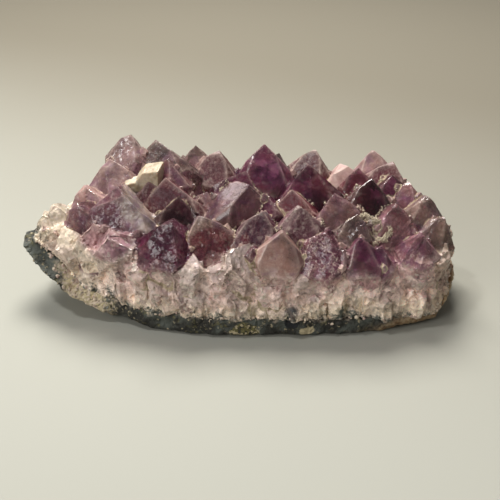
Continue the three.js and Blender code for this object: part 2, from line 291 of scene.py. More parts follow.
@dataclass
class Stone:
    """The form that the crystals grow on: its outline, its underside and its crown, in millimetres.

    Each kind of roughness is a pair: the height of its lumps and their width.
    """

    outline: tuple[tuple[float, float], ...] = (
        (75, -2), (72, 14), (63, 27), (45, 34), (20, 36), (-8, 37), (-34, 36), (-53, 28), (-67, 13),
        (-75.5, -3), (-70, -14), (-57, -22), (-41, -24.5), (-26, -30), (-8, -33.3), (14, -33), (36, -32),
        (54, -28.5), (66.5, -23.5), (73, -13),
    )
    profile: tuple[tuple[float, float], ...] = (
        (0, 0), (0.35, 0), (0.65, 0), (0.86, 0), (0.96, 0.012), (0.995, 0.05), (1, 0.16), (0.985, 0.3),
        (0.965, 0.5), (0.95, 0.72), (0.9, 0.9), (0.78, 0.98), (0.5, 1), (0, 1),
    )
    flank: tuple[Vec, Vec, Vec] = ((-73, -7, 21), (-41, -25, 7), (-46, -12, 38))
    rind_thick: float = 6.4
    rind_thin: float = 3.8
    sink: float = 0.6
    nose_from: float = 22
    nose_rise: float = 0.0076
    curl_from: float = 0.78
    curl_front: float = 16
    curl_back: float = 74
    curl_right: float = 260
    thin_from: tuple[float, float] = (34, 56)
    worn_at: float = -52
    worn_wide: float = 8
    worn_deep: float = 1.3
    bumps: float = 1.1
    bump_width: float = 9
    crown_height: float = 30
    left_rise: float = 4
    left_fall: float = 9
    front_fall: float = 4
    right_fall: float = 3
    steps: int = 112
    coarse: tuple[float, float] = (0.016, 6)
    fine: tuple[float, float] = (0.012, 2.6)
    top: tuple[float, float] = (0.7, 5)
    broken: tuple[float, float] = (0.9, 4)
    sheet_cells: tuple[int, int] = (68, 36)
    sheet_half: tuple[float, float] = (85, 45)
    ceiling: float = 80
    shift: Vec = (-0.4593405, -2.1093721, 0)
    angles: np.ndarray = field(init=False)
    reaches: np.ndarray = field(init=False)

    def __post_init__(self) -> None:
        """Turn the outline into a distance from the middle for each heading."""
        corners = np.array(self.outline)
        places = []
        for t in np.linspace(0, len(corners), 400, endpoint=False):
            k, w = int(t), t - int(t)
            before, here, after, next_one = (corners[(k + i) % len(corners)] for i in (-1, 0, 1, 2))
            lead, trail = 0.5 * (after - before), 0.5 * (next_one - here)
            square = (-3 * here + 3 * after - 2 * lead - trail) * w * w
            places.append(here + lead * w + square + (2 * here - 2 * after + lead + trail) * w**3)
        around = np.array(places)
        heading = np.arctan2(around[:, 1], around[:, 0])
        order = np.argsort(heading)
        self.angles = heading[order]
        self.reaches = np.hypot(around[:, 0], around[:, 1])[order]

    def reach(self, heading: Any) -> Any:
        """Give the distance from the middle to the outline for a heading in radians."""
        return np.interp(heading, self.angles, self.reaches, period=2 * math.pi)

    def underside(self, x: Any, y: Any) -> Any:
        """Give the height of the rind's underside at a place.

        Args:
            x: Place along the cluster in millimetres.
            y: Place away from the front.

        Returns:
            The height in millimetres.
        """
        nose = np.maximum(0, -x - self.nose_from)
        curl = np.maximum(0, np.hypot(x, y) / self.reach(np.arctan2(y, x)) - self.curl_from)
        steep = self.curl_front + self.curl_back * smoothstep(y, 0, 20)
        steep = steep + self.curl_right * smoothstep(x, 65, 77)
        return -self.sink + self.nose_rise * nose * nose + steep * curl * curl

    def rind_thickness(self, x: Any) -> Any:
        """Give the thickness of the rind at a place along the cluster.

        Args:
            x: Place along the cluster in millimetres.

        Returns:
            The thickness in millimetres.
        """
        worn = np.exp(-(((x - self.worn_at) / self.worn_wide) ** 2))
        thin = np.minimum(1, smoothstep(x, *self.thin_from) + self.worn_deep * worn)
        return self.rind_thick + (self.rind_thin - self.rind_thick) * thin

    def foot(self, x: Any, y: Any) -> Any:
        """Give the height of the rind's top at a place."""
        return self.underside(x, y) + self.sink + self.rind_thickness(x)

    def sunk(self, x: Any, y: Any, z: Any) -> Any:
        """Say how far a place lies below the bumpy top of the rind."""
        return self.foot(x, y) + self.bumps * lumps(x, y, 0, self.bump_width) - z

    def own(self, places: np.ndarray) -> np.ndarray:
        """Turn places in the shared frame, in metres, into the stone's own millimetres."""
        return places / MM - np.array(self.shift)

    def settle(self, bm: bmesh.types.BMesh, low: Vector, high: Vector) -> None:
        """Bring a mesh from the stone's own millimetres into the shared frame.

        Args:
            bm: The mesh.
            low: Lowest corner of the box that it stays inside, in metres.
            high: Highest corner of the box.
        """
        bmesh.ops.scale(bm, vec=(MM, MM, MM), verts=bm.verts)
        bmesh.ops.translate(bm, vec=Vector(self.shift) * MM, verts=bm.verts)
        for vert in bm.verts:
            vert.co = Vector(np.clip(vert.co, low, high))

    def crown(self, x: Any, y: Any) -> Any:
        """Give the height of the quartz between the heads at a place.

        Args:
            x: Place along the cluster in millimetres.
            y: Place away from the front.

        Returns:
            The height in millimetres.
        """
        rise = self.left_rise * smoothstep(-x, 18, 48) - self.left_fall * smoothstep(-x, 48, 78)
        front = self.front_fall * smoothstep(-y, 5, 34)
        return self.crown_height + rise - front - self.right_fall * smoothstep(x, 40, 76)

    def block(self) -> bmesh.types.BMesh:
        """Shape the quartz without its heads.

        Returns:
            A closed mesh: a turned profile pulled out to the outline, rough all round, with one flank.
        """
        bm = bmesh.new()
        stations = [bm.verts.new((out, 0, rise)) for out, rise in self.profile]
        edges = [bm.edges.new(pair) for pair in zip(stations, stations[1:])]
        bmesh.ops.subdivide_edges(bm, edges=edges[5:10], cuts=1)
        bmesh.ops.spin(bm, geom=bm.verts[:] + bm.edges[:], cent=(0, 0, 0), axis=(0, 0, 1),
                       angle=2 * math.pi, steps=self.steps, use_merge=True, use_duplicate=False)
        bmesh.ops.remove_doubles(bm, verts=bm.verts, dist=1e-5)
        a, b, c = (Vector(p) for p in self.flank)
        slope = (b - a).cross(c - a).normalized()
        for vert in bm.verts:
            rise = vert.co.z
            share = math.hypot(vert.co.x, vert.co.y)
            heading = math.atan2(vert.co.y, vert.co.x) if share > 1e-6 else 0
            out = share * self.reach(heading)
            x, y = around(heading, out)
            low = self.underside(x, y)
            z = low + rise * (self.crown(x, y) - low)
            coarse = self.coarse[0] * lumps(x, y, z, self.coarse[1])
            rough = 1 + (coarse + self.fine[0] * lumps(y, z, x, self.fine[1])) * share
            point = Vector((x * rough, y * rough, z + self.top[0] * lumps(x, y, 3, self.top[1])))
            proud = (point - a).dot(slope)
            if proud > 0 and rise > 0.1:
                point += slope * (self.broken[0] * lumps(x, z, y, self.broken[1]) - proud)
            vert.co = point
        bmesh.ops.recalc_face_normals(bm, faces=bm.faces)
        return bm

    def above_rind(self, lift: float) -> bmesh.types.BMesh:
        """Shape everything above the top of the rind.

        Args:
            lift: Height of the sheet above the rind's top.

        Returns:
            A closed box whose underside is a curved sheet.
        """
        bm = bmesh.new()
        cells = self.sheet_cells
        bmesh.ops.create_grid(bm, x_segments=cells[0], y_segments=cells[1], size=1)
        bmesh.ops.scale(bm, vec=(*self.sheet_half, 1), verts=bm.verts)
        raised = bmesh.ops.extrude_face_region(bm, geom=bm.faces[:])["geom"]
        top = {item for item in raised if isinstance(item, bmesh.types.BMVert)}
        for vert in bm.verts:
            x, y = vert.co.x, vert.co.y
            if vert in top:
                vert.co.z = self.ceiling
                continue
            inside = min(1, self.reach(math.atan2(y, x)) / max(1e-6, math.hypot(x, y)))
            low = self.underside(x * inside, y * inside) + self.sink + self.rind_thickness(x)
            vert.co.z = low + self.bumps * lumps(x, y, 0, self.bump_width) + lift
        bmesh.ops.recalc_face_normals(bm, faces=bm.faces)
        return bm


@dataclass(frozen=True)
class Fracture:
    """The broken wall: upright cells of quartz, each with its own step, slant and tone."""

    width: float = 8
    height: float = 22
    step: float = 1.5
    slant: float = 2.2

    def at(self, place: Vector) -> tuple[float, Vector]:
        """Find the cell of a place.

        Args:
            place: A place in millimetres.

        Returns:
            How far the break stands out there, and three numbers from 0 to 1 that the whole cell shares.
        """
        spread = self.width * (1 + 0.008 * (place.z - 15))
        scaled = Vector((place.x / spread, place.y / spread, place.z / self.height))
        middle = noise.voronoi(scaled)[1][0]
        roll = noise.cell_vector(middle * 7.3)
        tilt = Vector((roll.y - 0.5, roll.z - 0.5, roll.x - 0.5))
        return self.step * (roll.x - 0.5) + self.slant * (scaled - middle).dot(tilt), roll


@dataclass
class Crystal:
    """One quartz crystal: a six-sided prism under three large and three smaller faces."""

    tip: Vec
    across: float
    lean: tuple[float, float] = (0, 0)
    turn: float = 0
    flat: float = 0.2
    snap: float = 0
    length: float = 0
    root: float = 0.75
    tint: Tint = Tint.MAUVE
    break_normal: Vec = (0.35, 0.2, -0.92)
    chips: int = 0
    worn: float = 0
    slope: float = math.radians(38.2)
    chip_rise: tuple[float, float] = (0.15, 0.8)
    chip_depth: tuple[float, float] = (0.03, 0.09)
    chip_swing: float = 12
    merge: float = 0.02
    shortest: float = 0.3
    bevel: float = 0.012
    least_bevel: float = 0.03

    @property
    def place(self) -> Matrix:
        """Give the turn and the place of the crystal.

        Returns:
            The matrix that takes its own places to the stone's.
        """
        right, away = (math.radians(a) for a in self.lean)
        matrix = Matrix.Translation(self.tip) @ Matrix.Rotation(right, 4, "Y")
        return matrix @ Matrix.Rotation(-away, 4, "X") @ Matrix.Rotation(math.radians(self.turn), 4, "Z")

    def planes(self) -> tuple[np.ndarray, np.ndarray]:
        """Give the planes that bound the crystal, with its tip at the origin and its axis down -Z.

        Returns:
            The outward normals, and how far along each its plane lies.
        """
        radius = self.across / 2
        apothem = radius * math.cos(math.radians(30))
        taper = apothem * (1 - self.root) / self.length
        stretch = math.hypot(1, taper)
        normals, offsets = [], []
        for k in range(6):
            heading = math.radians(60 * k)
            aside = (math.cos(heading), math.sin(heading))
            level = math.cos(self.slope)
            normals.append((level * aside[0], level * aside[1], math.sin(self.slope)))
            offsets.append(self.flat * radius * 0.6 if k % 2 else 0)
            normals.append((aside[0] / stretch, aside[1] / stretch, -taper / stretch))
            offsets.append(apothem / stretch)
        if self.snap > 0:
            normals.append(tuple(-Vector(self.break_normal).normalized()))
            offsets.append(-self.snap)
        return np.array(normals), np.array(offsets)

    def mesh(self, roll: Dice) -> bmesh.types.BMesh:
        """Cut the crystal, chip it and break its edges.

        Args:
            roll: Where the chips fall.

        Returns:
            A closed mesh in its place, in millimetres.
        """
        radius = self.across / 2
        bm = bmesh.new()
        bmesh.ops.create_cone(bm, cap_ends=True, segments=6, radius1=radius * self.root, radius2=radius,
                              depth=self.length, matrix=Matrix.Translation((0, 0, -self.length / 2)))
        normals, offsets = self.planes()
        cuts = [(Vector(n), o, 0) for n, o in zip(normals, offsets)]
        cuts = cuts[0:12:2] + cuts[12:]
        for _ in range(self.chips):
            corner = 60 * int(6 * roll()) + 30
            heading = math.radians(corner + roll.between(-self.chip_swing, self.chip_swing))
            rise = roll.between(*self.chip_rise)
            normal = Vector((math.cos(heading), math.sin(heading), rise)).normalized()
            cuts.append((normal, None, roll.between(*self.chip_depth) * self.across))
        for normal, offset, depth in cuts:
            if offset is None:
                offset = max(vert.co.dot(normal) for vert in bm.verts) - depth
            slice_off(bm, normal, offset)
        bmesh.ops.remove_doubles(bm, verts=bm.verts, dist=self.merge)
        bmesh.ops.dissolve_degenerate(bm, dist=self.merge, edges=bm.edges)
        edges = [edge for edge in bm.edges if edge.calc_length() > self.shortest]
        bmesh.ops.bevel(bm, geom=edges, offset=self.bevel * self.across + self.least_bevel, segments=1,
                        offset_type="OFFSET", profile=0.5, affect="EDGES", clamp_overlap=True, material=-1)
        bmesh.ops.transform(bm, matrix=self.place, verts=bm.verts)
        bmesh.ops.recalc_face_normals(bm, faces=bm.faces)
        return bm


@dataclass(frozen=True)
class Growth:
    """What is known of every vertex of the druse: whose crystal it is on and how near its edges are."""

    owner: np.ndarray
    depth: np.ndarray
    valley: np.ndarray
    edge: np.ndarray
    down: np.ndarray


# How far round a crystal its faces are looked for, in millimetres
FAR = 9.0
OVER_TIP = 4
UNDER_ROOT = 3


def growth_at(points: np.ndarray, crystals: list[Crystal]) -> Growth:
    """Find the crystal that each point lies on.

    Args:
        points: Places in millimetres, one row each.
        crystals: The crystals, each with its planes.

    Returns:
        The crystal's number (-1 off all), how far outside it the point is, how far outside the next
        crystal, how far from the crystal's own next face, and how far below its tip.
    """
    count = len(points)
    owner = np.full(count, -1)
    best, second, edge, down = (np.full(count, FAR) for _ in range(4))
    for index, crystal in enumerate(crystals):
        turned = np.array(crystal.place.to_3x3())
        local = (points - np.array(crystal.tip)) @ turned
        wide = np.abs(local[:, :2]).max(axis=1) < crystal.across
        rise = local[:, 2]
        near = np.nonzero(wide & (rise < OVER_TIP) & (rise > -crystal.length - UNDER_ROOT))[0]
        if not len(near):
            continue
        normals, offsets = crystal.planes()
        ordered = np.sort(local[near] @ normals.T - offsets, axis=1)
        deep = ordered[:, -1]
        better = deep < best[near]
        win, lose = near[better], near[~better]
        second[win] = best[win]
        best[win] = deep[better]
        owner[win] = index
        edge[win] = (deep - ordered[:, -2])[better]
        down[win] = -rise[win]
        second[lose] = np.minimum(second[lose], deep[~better])
    return Growth(owner, best, second, edge, down)


class Signal:
    """A number socket that Python's operators join into Math nodes."""

    def __init__(self, sheet: "Sheet", socket: bpy.types.NodeSocket) -> None:
        """Wrap a socket of a sheet of nodes."""
        self.sheet = sheet
        self.socket = socket

    def math(self, operation: str, *terms: Any, clamp: bool = False) -> "Signal":
        """Add a Math node.

        Args:
            operation: The node's operation.
            *terms: Its inputs, signals or numbers.
            clamp: Whether the result stays between 0 and 1.

        Returns:
            The node's output.
        """
        settings = {"operation": operation, "use_clamp": clamp}
        return self.sheet.node("ShaderNodeMath", settings, dict(enumerate(terms)))

    def __add__(self, other: Any) -> "Signal":
        """Add."""
        return self.math("ADD", self, other)

    def __radd__(self, other: Any) -> "Signal":
        """Add to a number."""
        return self.math("ADD", other, self)

    def __sub__(self, other: Any) -> "Signal":
        """Take away."""
        return self.math("SUBTRACT", self, other)

    def __rsub__(self, other: Any) -> "Signal":
        """Take away from a number."""
        return self.math("SUBTRACT", other, self)

    def __mul__(self, other: Any) -> "Signal":
        """Multiply."""
        return self.math("MULTIPLY", self, other)

    def __rmul__(self, other: Any) -> "Signal":
        """Multiply a number."""
        return self.math("MULTIPLY", other, self)

    def __abs__(self) -> "Signal":
        """Drop the sign."""
        return self.math("ABSOLUTE", self)

    def clipped(self) -> "Signal":
        """Keep between 0 and 1."""
        return self.math("ADD", self, 0, clamp=True)

    def between(self, low: float, high: float) -> "Signal":
        """Rise smoothly from 0 at low to 1 at high.

        Args:
            low: Where the rise starts.
            high: Where it ends.

        Returns:
            The share of the rise.
        """
        settings = {"interpolation_type": "SMOOTHSTEP"}
        sockets = {"Value": self, "From Min": low, "From Max": high}
        return self.sheet.node("ShaderNodeMapRange", settings, sockets)


class Sheet:
    """The nodes of one material."""

    def __init__(self, name: str) -> None:
        """Start a material with no nodes but its texture places.

        Args:
            name: The material's name.
        """
        self.material = bpy.data.materials.new(name)
        self.material.use_nodes = True
        self.tree = self.material.node_tree
        self.tree.nodes.clear()
        self.place = self.node("ShaderNodeTexCoord", {}, {}, "Object")

    def node(self, kind: str, settings: dict[str, Any], sockets: dict[Any, Any], output: Any = 0) -> Signal:
        """Add a node of any type.

        Args:
            kind: The node's type.
            settings: Its properties.
            sockets: Values or links of its inputs, by name or number.
            output: Name or number of the output to give back.

        Returns:
            That output.
        """
        made = self.tree.nodes.new(kind)
        for key, value in settings.items():
            setattr(made, key, value)
        for key, value in sockets.items():
            if isinstance(value, Signal):
                self.tree.links.new(value.socket, made.inputs[key])
            elif isinstance(value, tuple) and made.inputs[key].type == "RGBA":
                made.inputs[key].default_value = (*value, 1.0)
            else:
                made.inputs[key].default_value = value
        return Signal(self, made.outputs[output]) if made.outputs else Signal(self, None)

    def noise(self, size: float, detail: float = 4, rough: float = 0.55, warp: float = 0) -> Signal:
        """Add lumps.

        Args:
            size: Width of a lump in millimetres.
            detail: How many finer sizes it has.
            rough: How strong they are.
            warp: How much it is distorted.

        Returns:
            A value about 0.5.
        """
        sockets = {"Vector": self.place, "Scale": 1 / (size * MM), "Detail": detail, "Roughness": rough,
                   "Distortion": warp}
        return self.node("ShaderNodeTexNoise", {}, sockets)

    def grains(self, size: float) -> tuple[Signal, Signal]:
        """Add flat grains of a width in millimetres.

        Args:
            size: Width of a grain.

        Returns:
            A random colour and a random number from 0 to 1, each shared by a whole grain.
        """
        sockets = {"Vector": self.place, "Scale": 1 / (size * MM)}
        colour = self.node("ShaderNodeTexVoronoi", {}, sockets, "Color")
        return colour, self.node("ShaderNodeSeparateColor", {}, {0: colour}, "Red")

    def tilted(self, colour: Signal, share: Any, under: Signal) -> Signal:
        """Tilt a normal a little its own way on every grain.

        Args:
            colour: The grains' random colour.
            share: How far they tilt.
            under: The normal that is tilted.

        Returns:
            The normal.
        """
        aside = self.node("ShaderNodeVectorMath", {"operation": "SUBTRACT"}, {0: colour, 1: (0.5, 0.5, 0.5)})
        aside = self.node("ShaderNodeVectorMath", {"operation": "SCALE"}, {0: aside, "Scale": share})
        leaned = self.node("ShaderNodeVectorMath", {}, {0: under, 1: aside})
        return self.node("ShaderNodeVectorMath", {"operation": "NORMALIZE"}, {0: leaned})

    def axis(self, name: str) -> Signal:
        """Give the place along one axis in millimetres."""
        split = self.node("ShaderNodeSeparateXYZ", {}, {0: self.place}, name)
        return split * (1 / MM)

    def attribute(self, name: str, output: str = "Fac") -> Signal:
        """Read an attribute of the mesh."""
        return self.node("ShaderNodeAttribute", {"attribute_name": name}, {}, output)

    def mix(self, share: Any, one: Any, two: Any, blend: str = "MIX") -> Signal:
        """Mix two colours by a share from 0 to 1."""
        settings = {"data_type": "RGBA", "blend_type": blend}
        return self.node("ShaderNodeMix", settings, {0: share, 6: one, 7: two}, 2)

    def bump(self, height: Signal, distance: float, strength: float, under: Signal | None = None) -> Signal:
        """Turn a height into a normal.

        Args:
            height: The height from 0 to 1.
            distance: What 1 stands for, in millimetres.
            strength: How much of it shows.
            under: A normal that it adds to.

        Returns:
            The normal.
        """
        sockets = {"Height": height, "Distance": distance * MM, "Strength": strength}
        if under is not None:
            sockets["Normal"] = under
        return self.node("ShaderNodeBump", {}, sockets)

    def normal(self) -> Signal:
        """Give the mesh's own normal."""
        return self.node("ShaderNodeNewGeometry", {}, {}, "Normal")

    def surface(self, sockets: dict[str, Any]) -> Signal:
        """Add a Principled BSDF with some of its inputs."""
        return self.node("ShaderNodeBsdfPrincipled", {}, sockets)

    def finish(self, surface: Signal, volume: Signal | None = None) -> bpy.types.Material:
        """Join the shaders to the output and give the material.

        Args:
            surface: The shader of the surface.
            volume: The shader of what is inside, if it has one.

        Returns:
            The finished material.
        """
        sockets = {"Surface": surface} if volume is None else {"Surface": surface, "Volume": volume}
        self.node("ShaderNodeOutputMaterial", {}, sockets)
        return self.material


@dataclass(frozen=True)
class Quartz:
    """See-through to milky quartz, whose tint and milkiness the mesh carries."""

    index: float = 1.544
    gloss: float = 0.2
    absorbed: Vec = (0.74, 0.36, 0.67)
    density: float = 80
    violet: Vec = (0.7, 0.46, 1.0)
    warm: Vec = (1.0, 0.8, 0.7)
    crust: Vec = linear(178, 162, 138)
    # Colour of the white veils, and of the painted highlight along the crystals' edges
    veil_and_edge_highlight: Vec = linear(204, 184, 172)
    # Colour of the painted glints: near-white specks that stand in for reflected light
    glint: Vec = linear(236, 226, 210)
    dirt: Vec = linear(92, 96, 90)
    clear: Vec = (0.92, 0.74, 0.88)

    def coat(self, sheet: Sheet, broad: Signal, fine: Signal, tone: Signal,
             coarse: Signal) -> tuple[Signal, Signal]:
        """Mottle the tint, and lay veils, a painted highlight along the edges, painted glints, crust and dirt
        over it.

        Args:
            sheet: The material's nodes.
            broad: Wide lumps.
            fine: Fine lumps.
            tone: A number for each small grain.
            coarse: A number for each large grain.

        Returns:
            The colour, and how much of it is opaque.
        """
        grain, worn = sheet.attribute("grain"), sheet.attribute("worn")
        mottle = sheet.noise(6, 4, 0.6, 0.9)
        calm = (1 - grain * 0.75) * (1.2 - sheet.attribute("milk"))
        shade = 0.3 + broad * 0.85 + fine * 0.4 + grain * (0.34 + (tone - 0.5) * 0.7 + (coarse - 0.5) * 0.5)
        shade = sheet.node("ShaderNodeCombineColor", {}, {0: shade, 1: shade, 2: shade})
        colour = sheet.mix(1.0, sheet.attribute("tint", "Color"), shade, "MULTIPLY")
        colour = sheet.mix(mottle.between(0.44, 0.72) * calm * 0.8, colour, self.violet, "MULTIPLY")
        colour = sheet.mix((1 - mottle).between(0.44, 0.72) * calm * 0.8, colour, self.warm, "MULTIPLY")
        wisp = 2 - abs(sheet.noise(5, 3, 0.6, 1.2) - 0.5).between(0.004, 0.035)
        wisp = wisp - abs(sheet.noise(2.6, 3, 0.6, 1.6) - 0.5).between(0.004, 0.04)
        veils = wisp * broad.between(0.4, 0.54) * (0.24 + 0.76 * worn.between(0.82, 1))
        veils = veils * fine.between(0.3, 0.55)
        # Painted highlight: the edges are lightened as if they caught the light; the veils are the quartz's
        # own white veils
        edge = sheet.attribute("edge") * (1 - worn * 0.7).clipped()
        pale = (edge * (0.14 + 0.6 * fine) + veils * 0.75).clipped()
        colour = sheet.mix(pale, colour, self.veil_and_edge_highlight)
        # Painted highlight: a few grains, most of them on the wall, are turned near white as glints
        colour = sheet.mix(tone.between(0.9, 0.93) * (0.12 + 0.6 * grain).clipped(), colour, self.glint)
        crusted = sheet.attribute("valley") + (sheet.noise(2.2, 5, 0.7) - 0.5) * 1.5
        crusted = (crusted * sheet.noise(14, 2, 0.5).between(0.45, 0.6)).between(0.6, 0.86)
        colour = sheet.mix(crusted, colour, self.crust)
        patch = sheet.noise(8, 4, 0.65)
        dirty = (sheet.attribute("stain") + (patch - 0.5) * 3.2 + (fine - 0.5) * 1.4).between(0.66, 1.25)
        colour = sheet.mix(dirty, colour, self.dirt)
        milk = sheet.attribute("milk") + (broad - 0.5) * 0.7 + pale * 0.4 + crusted + dirty
        return colour, milk.clipped()

    def material(self) -> bpy.types.Material:
        """Make the material.

        Returns:
            The finished material.
        """
        sheet = Sheet("amethyst quartz")
        grain = sheet.attribute("grain")
        broad, fine = sheet.noise(7, 3, 0.5, 0.6), sheet.noise(1.1, 4, 0.65)
        small, tone = sheet.grains(0.9)
        large, coarse = sheet.grains(2.6)
        colour, milky = self.coat(sheet, broad, fine, tone, coarse)
        rough = (0.2 + 0.26 * fine + 0.2 * grain * coarse - 0.16 * grain * tone.between(0.6, 0.9)
                 + 0.2 * sheet.attribute("dull")).clipped()
        normal = sheet.tilted(large, grain * 0.55, sheet.normal())
        normal = sheet.tilted(small, grain * 0.8 + 0.03, normal)
        steps = sheet.noise(3.2, 2, 0.4, 0.4) * (0.35 + 0.65 * sheet.attribute("worn")).clipped()
        normal = sheet.bump(steps, 0.5, 0.3, normal)
        normal = sheet.bump(fine, 0.2, 0.3, normal)
        shared = {"IOR": self.index, "Specular IOR Level": self.gloss, "Normal": normal}
        body = sheet.surface({"Base Color": colour, "Roughness": rough, **shared})
        clear = sheet.mix(0.32, colour, self.clear)
        glass = sheet.surface({"Base Color": clear, "Roughness": rough * 0.5, "Transmission Weight": 1.0,
                               **shared})
        surface = sheet.node("ShaderNodeMixShader", {}, {0: milky, 1: glass, 2: body})
        sockets = {"Color": self.absorbed, "Density": self.density}
        return sheet.finish(surface, sheet.node("ShaderNodeVolumeAbsorption", {}, sockets))


@dataclass(frozen=True)
class Rock:
    """The rind: blue-grey and moss green at the left, dark in the middle, tan agate at the right."""

    slate: Vec = linear(84, 88, 82)
    moss: Vec = linear(112, 106, 68)
    dark: Vec = linear(48, 47, 43)
    soot: Vec = linear(34, 36, 40)
    tan: Vec = linear(138, 104, 72)
    cream: Vec = linear(196, 182, 148)
    quartz: Vec = linear(206, 190, 170)
    pink: Vec = linear(166, 149, 134)

    def spot(self, sheet: Sheet, middle: tuple[float, float], wide: float, tall: float) -> Signal:
        """Mark one ragged patch on the front.

        Args:
            sheet: The material's nodes.
            middle: Its place along the cluster and its height, in millimetres.
            wide: Half its width.
            tall: Half its height.

        Returns:
            1 inside the patch and 0 outside.
        """
        aside = (sheet.axis("X") - middle[0]) * (1 / wide)
        above = (sheet.axis("Z") - middle[1]) * (1 / tall)
        ragged = (sheet.noise(1.6, 4, 0.6) - 0.5) * 1.6
        return 1 - (aside * aside + above * above + ragged).between(0.7, 1.1)

    def material(self) -> bpy.types.Material:
        """Make the material.

        Returns:
            The finished material.
        """
        sheet = Sheet("rind")
        along, sunk = sheet.axis("X"), sheet.attribute("sunk")
        broad, grain = sheet.noise(9, 4, 0.6), sheet.noise(1.2, 5, 0.7)
        small, tone = sheet.grains(0.8)
        colour = sheet.mix(broad.between(0.42, 0.6), self.dark, self.slate)
        colour = sheet.mix(sheet.noise(4, 4, 0.7).between(0.56, 0.68) * 0.6, colour, self.moss)
        mossy = sheet.mix(grain.between(0.46, 0.56), self.moss, self.dark)
        mossy = sheet.mix(tone.between(0.7, 0.76), mossy, self.cream)
        colour = sheet.mix(self.spot(sheet, (1.5, 2), 5, 4), colour, mossy)
        lights = tone.between(0.88, 0.95) * grain.between(0.46, 0.58)
        colour = sheet.mix(lights * 0.7, colour, self.cream)
        right = (along + (broad - 0.5) * 30 + sunk * 2).between(46, 62)
        bands = sheet.noise(2.4, 3, 0.5, 1.5).between(0.35, 0.65)
        colour = sheet.mix(right, colour, sheet.mix(bands * 0.45, self.tan, self.cream))
        granular = sheet.mix(grain.between(0.36, 0.6), self.pink, self.quartz)
        upper = (0.4 - sunk * 0.7 + (sheet.noise(5, 4, 0.7) - 0.5) * 12).between(0, 2.4)
        colour = sheet.mix(upper * (along + 52).between(0, 20) * (1 - right) * 0.7, colour, granular)
        left = (along + 62 + (broad - 0.5) * 24).between(0, 6)
        left = left * (-40 - along + (grain - 0.5) * 24).between(0, 8)
        sugar = sheet.mix(tone.between(0.2, 0.8), granular, self.cream)
        colour = sheet.mix(left * (grain + broad * 0.6).between(0.56, 0.7), colour, sugar)
        colour = sheet.mix(self.spot(sheet, (17, 6.4), 2.6, 3.4), colour, self.soot)
        colour = sheet.mix(self.spot(sheet, (22, 2.4), 2.6, 1.6), colour, self.cream)
        normal = sheet.tilted(small, 0.45, sheet.normal())
        normal = sheet.bump(grain, 0.5, 0.7, sheet.bump(broad, 1.6, 0.5, normal))
        rough = (0.85 - 0.35 * right - 0.3 * upper * tone).clipped()
        return sheet.finish(sheet.surface({"Base Color": colour, "Roughness": rough, "Normal": normal}))


@dataclass(frozen=True)
class Wax:
    """The calcite: cream, waxy, with stained cleavage steps."""

    cream: Vec = linear(184, 169, 146)
    stain: Vec = linear(146, 128, 100)
    index: float = 1.6
    glow: float = 0.25
    depths: Vec = (0.003, 0.002, 0.001)

    def material(self) -> bpy.types.Material:
        """Make the material.

        Returns:
            The finished material.
        """
        sheet = Sheet("calcite")
        broad = sheet.noise(4, 5, 0.65, 0.5)
        colour = sheet.mix(broad.between(0.4, 0.68), self.cream, self.stain)
        fine = sheet.noise(0.8, 4, 0.6)
        normal = sheet.bump(fine, 0.25, 0.5)
        return sheet.finish(sheet.surface({
            "Base Color": colour, "Roughness": 0.35 + 0.3 * fine, "IOR": self.index, "Normal": normal,
            "Subsurface Weight": self.glow, "Subsurface Radius": self.depths, "Subsurface Scale": 1.0}))


@dataclass(frozen=True)
class Grit:
    """Dull grains of crust in the valleys."""

    pale: Vec = linear(200, 187, 164)
    green: Vec = linear(130, 118, 98)
    rough: float = 0.7

    def material(self) -> bpy.types.Material:
        """Make the material.

        Returns:
            The finished material.
        """
        sheet = Sheet("crust")
        colour = sheet.mix(sheet.noise(3, 4, 0.6).between(0.48, 0.66), self.pale, self.green)
        normal = sheet.bump(sheet.noise(0.5, 3, 0.6), 0.12, 0.6)
        return sheet.finish(sheet.surface({"Base Color": colour, "Roughness": self.rough, "Normal": normal}))


class Pile:
    """Many loose grains in one mesh, made in batches because an operator walks its whole mesh.

    MIDDLE and SHORT are the shares of the width that a grain keeps along its other two axes.
    """

    BATCH = 80
    MIDDLE = (0.5, 1)
    SHORT = (0.35, 0.75)
    TURN = 6

    def __init__(self, roll: Dice, node: str) -> None:
        """Start a pile that stays inside the box of a node.

        Args:
            roll: Where its random numbers come from.
            node: The node of the solids.
        """
        self.roll = roll
        self.low, self.high = (Vector(corner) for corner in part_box(node))
        self.whole = bmesh.new()
        self.batch = bmesh.new()
        self.waiting = 0

    def drop(self, place: Vector, radius: float) -> None:
        """Add one many-sided grain, if it stays inside the box.

        Args:
            place: Its middle.
            radius: Half its width.
        """
        squash = Matrix.Diagonal((1, self.roll.between(*self.MIDDLE), self.roll.between(*self.SHORT), 1))
        turn = Euler([self.TURN * self.roll() for _ in range(3)]).to_matrix().to_4x4()
        if any(not self.low[k] + radius < place[k] < self.high[k] - radius for k in range(3)):
            return
        bmesh.ops.create_icosphere(self.batch, subdivisions=1, radius=radius,
                                   matrix=Matrix.Translation(place) @ turn @ squash)
        self.waiting += 1
        if self.waiting == self.BATCH:
            self.gather()

    def gather(self) -> None:
        """Move the batch to the whole."""
        pour(self.batch, self.whole)
        self.batch.clear()
        self.waiting = 0

    def finished(self) -> bmesh.types.BMesh:
        """Give the whole pile.

        Returns:
            The mesh of all grains.
        """
        self.gather()
        self.batch.free()
        return self.whole


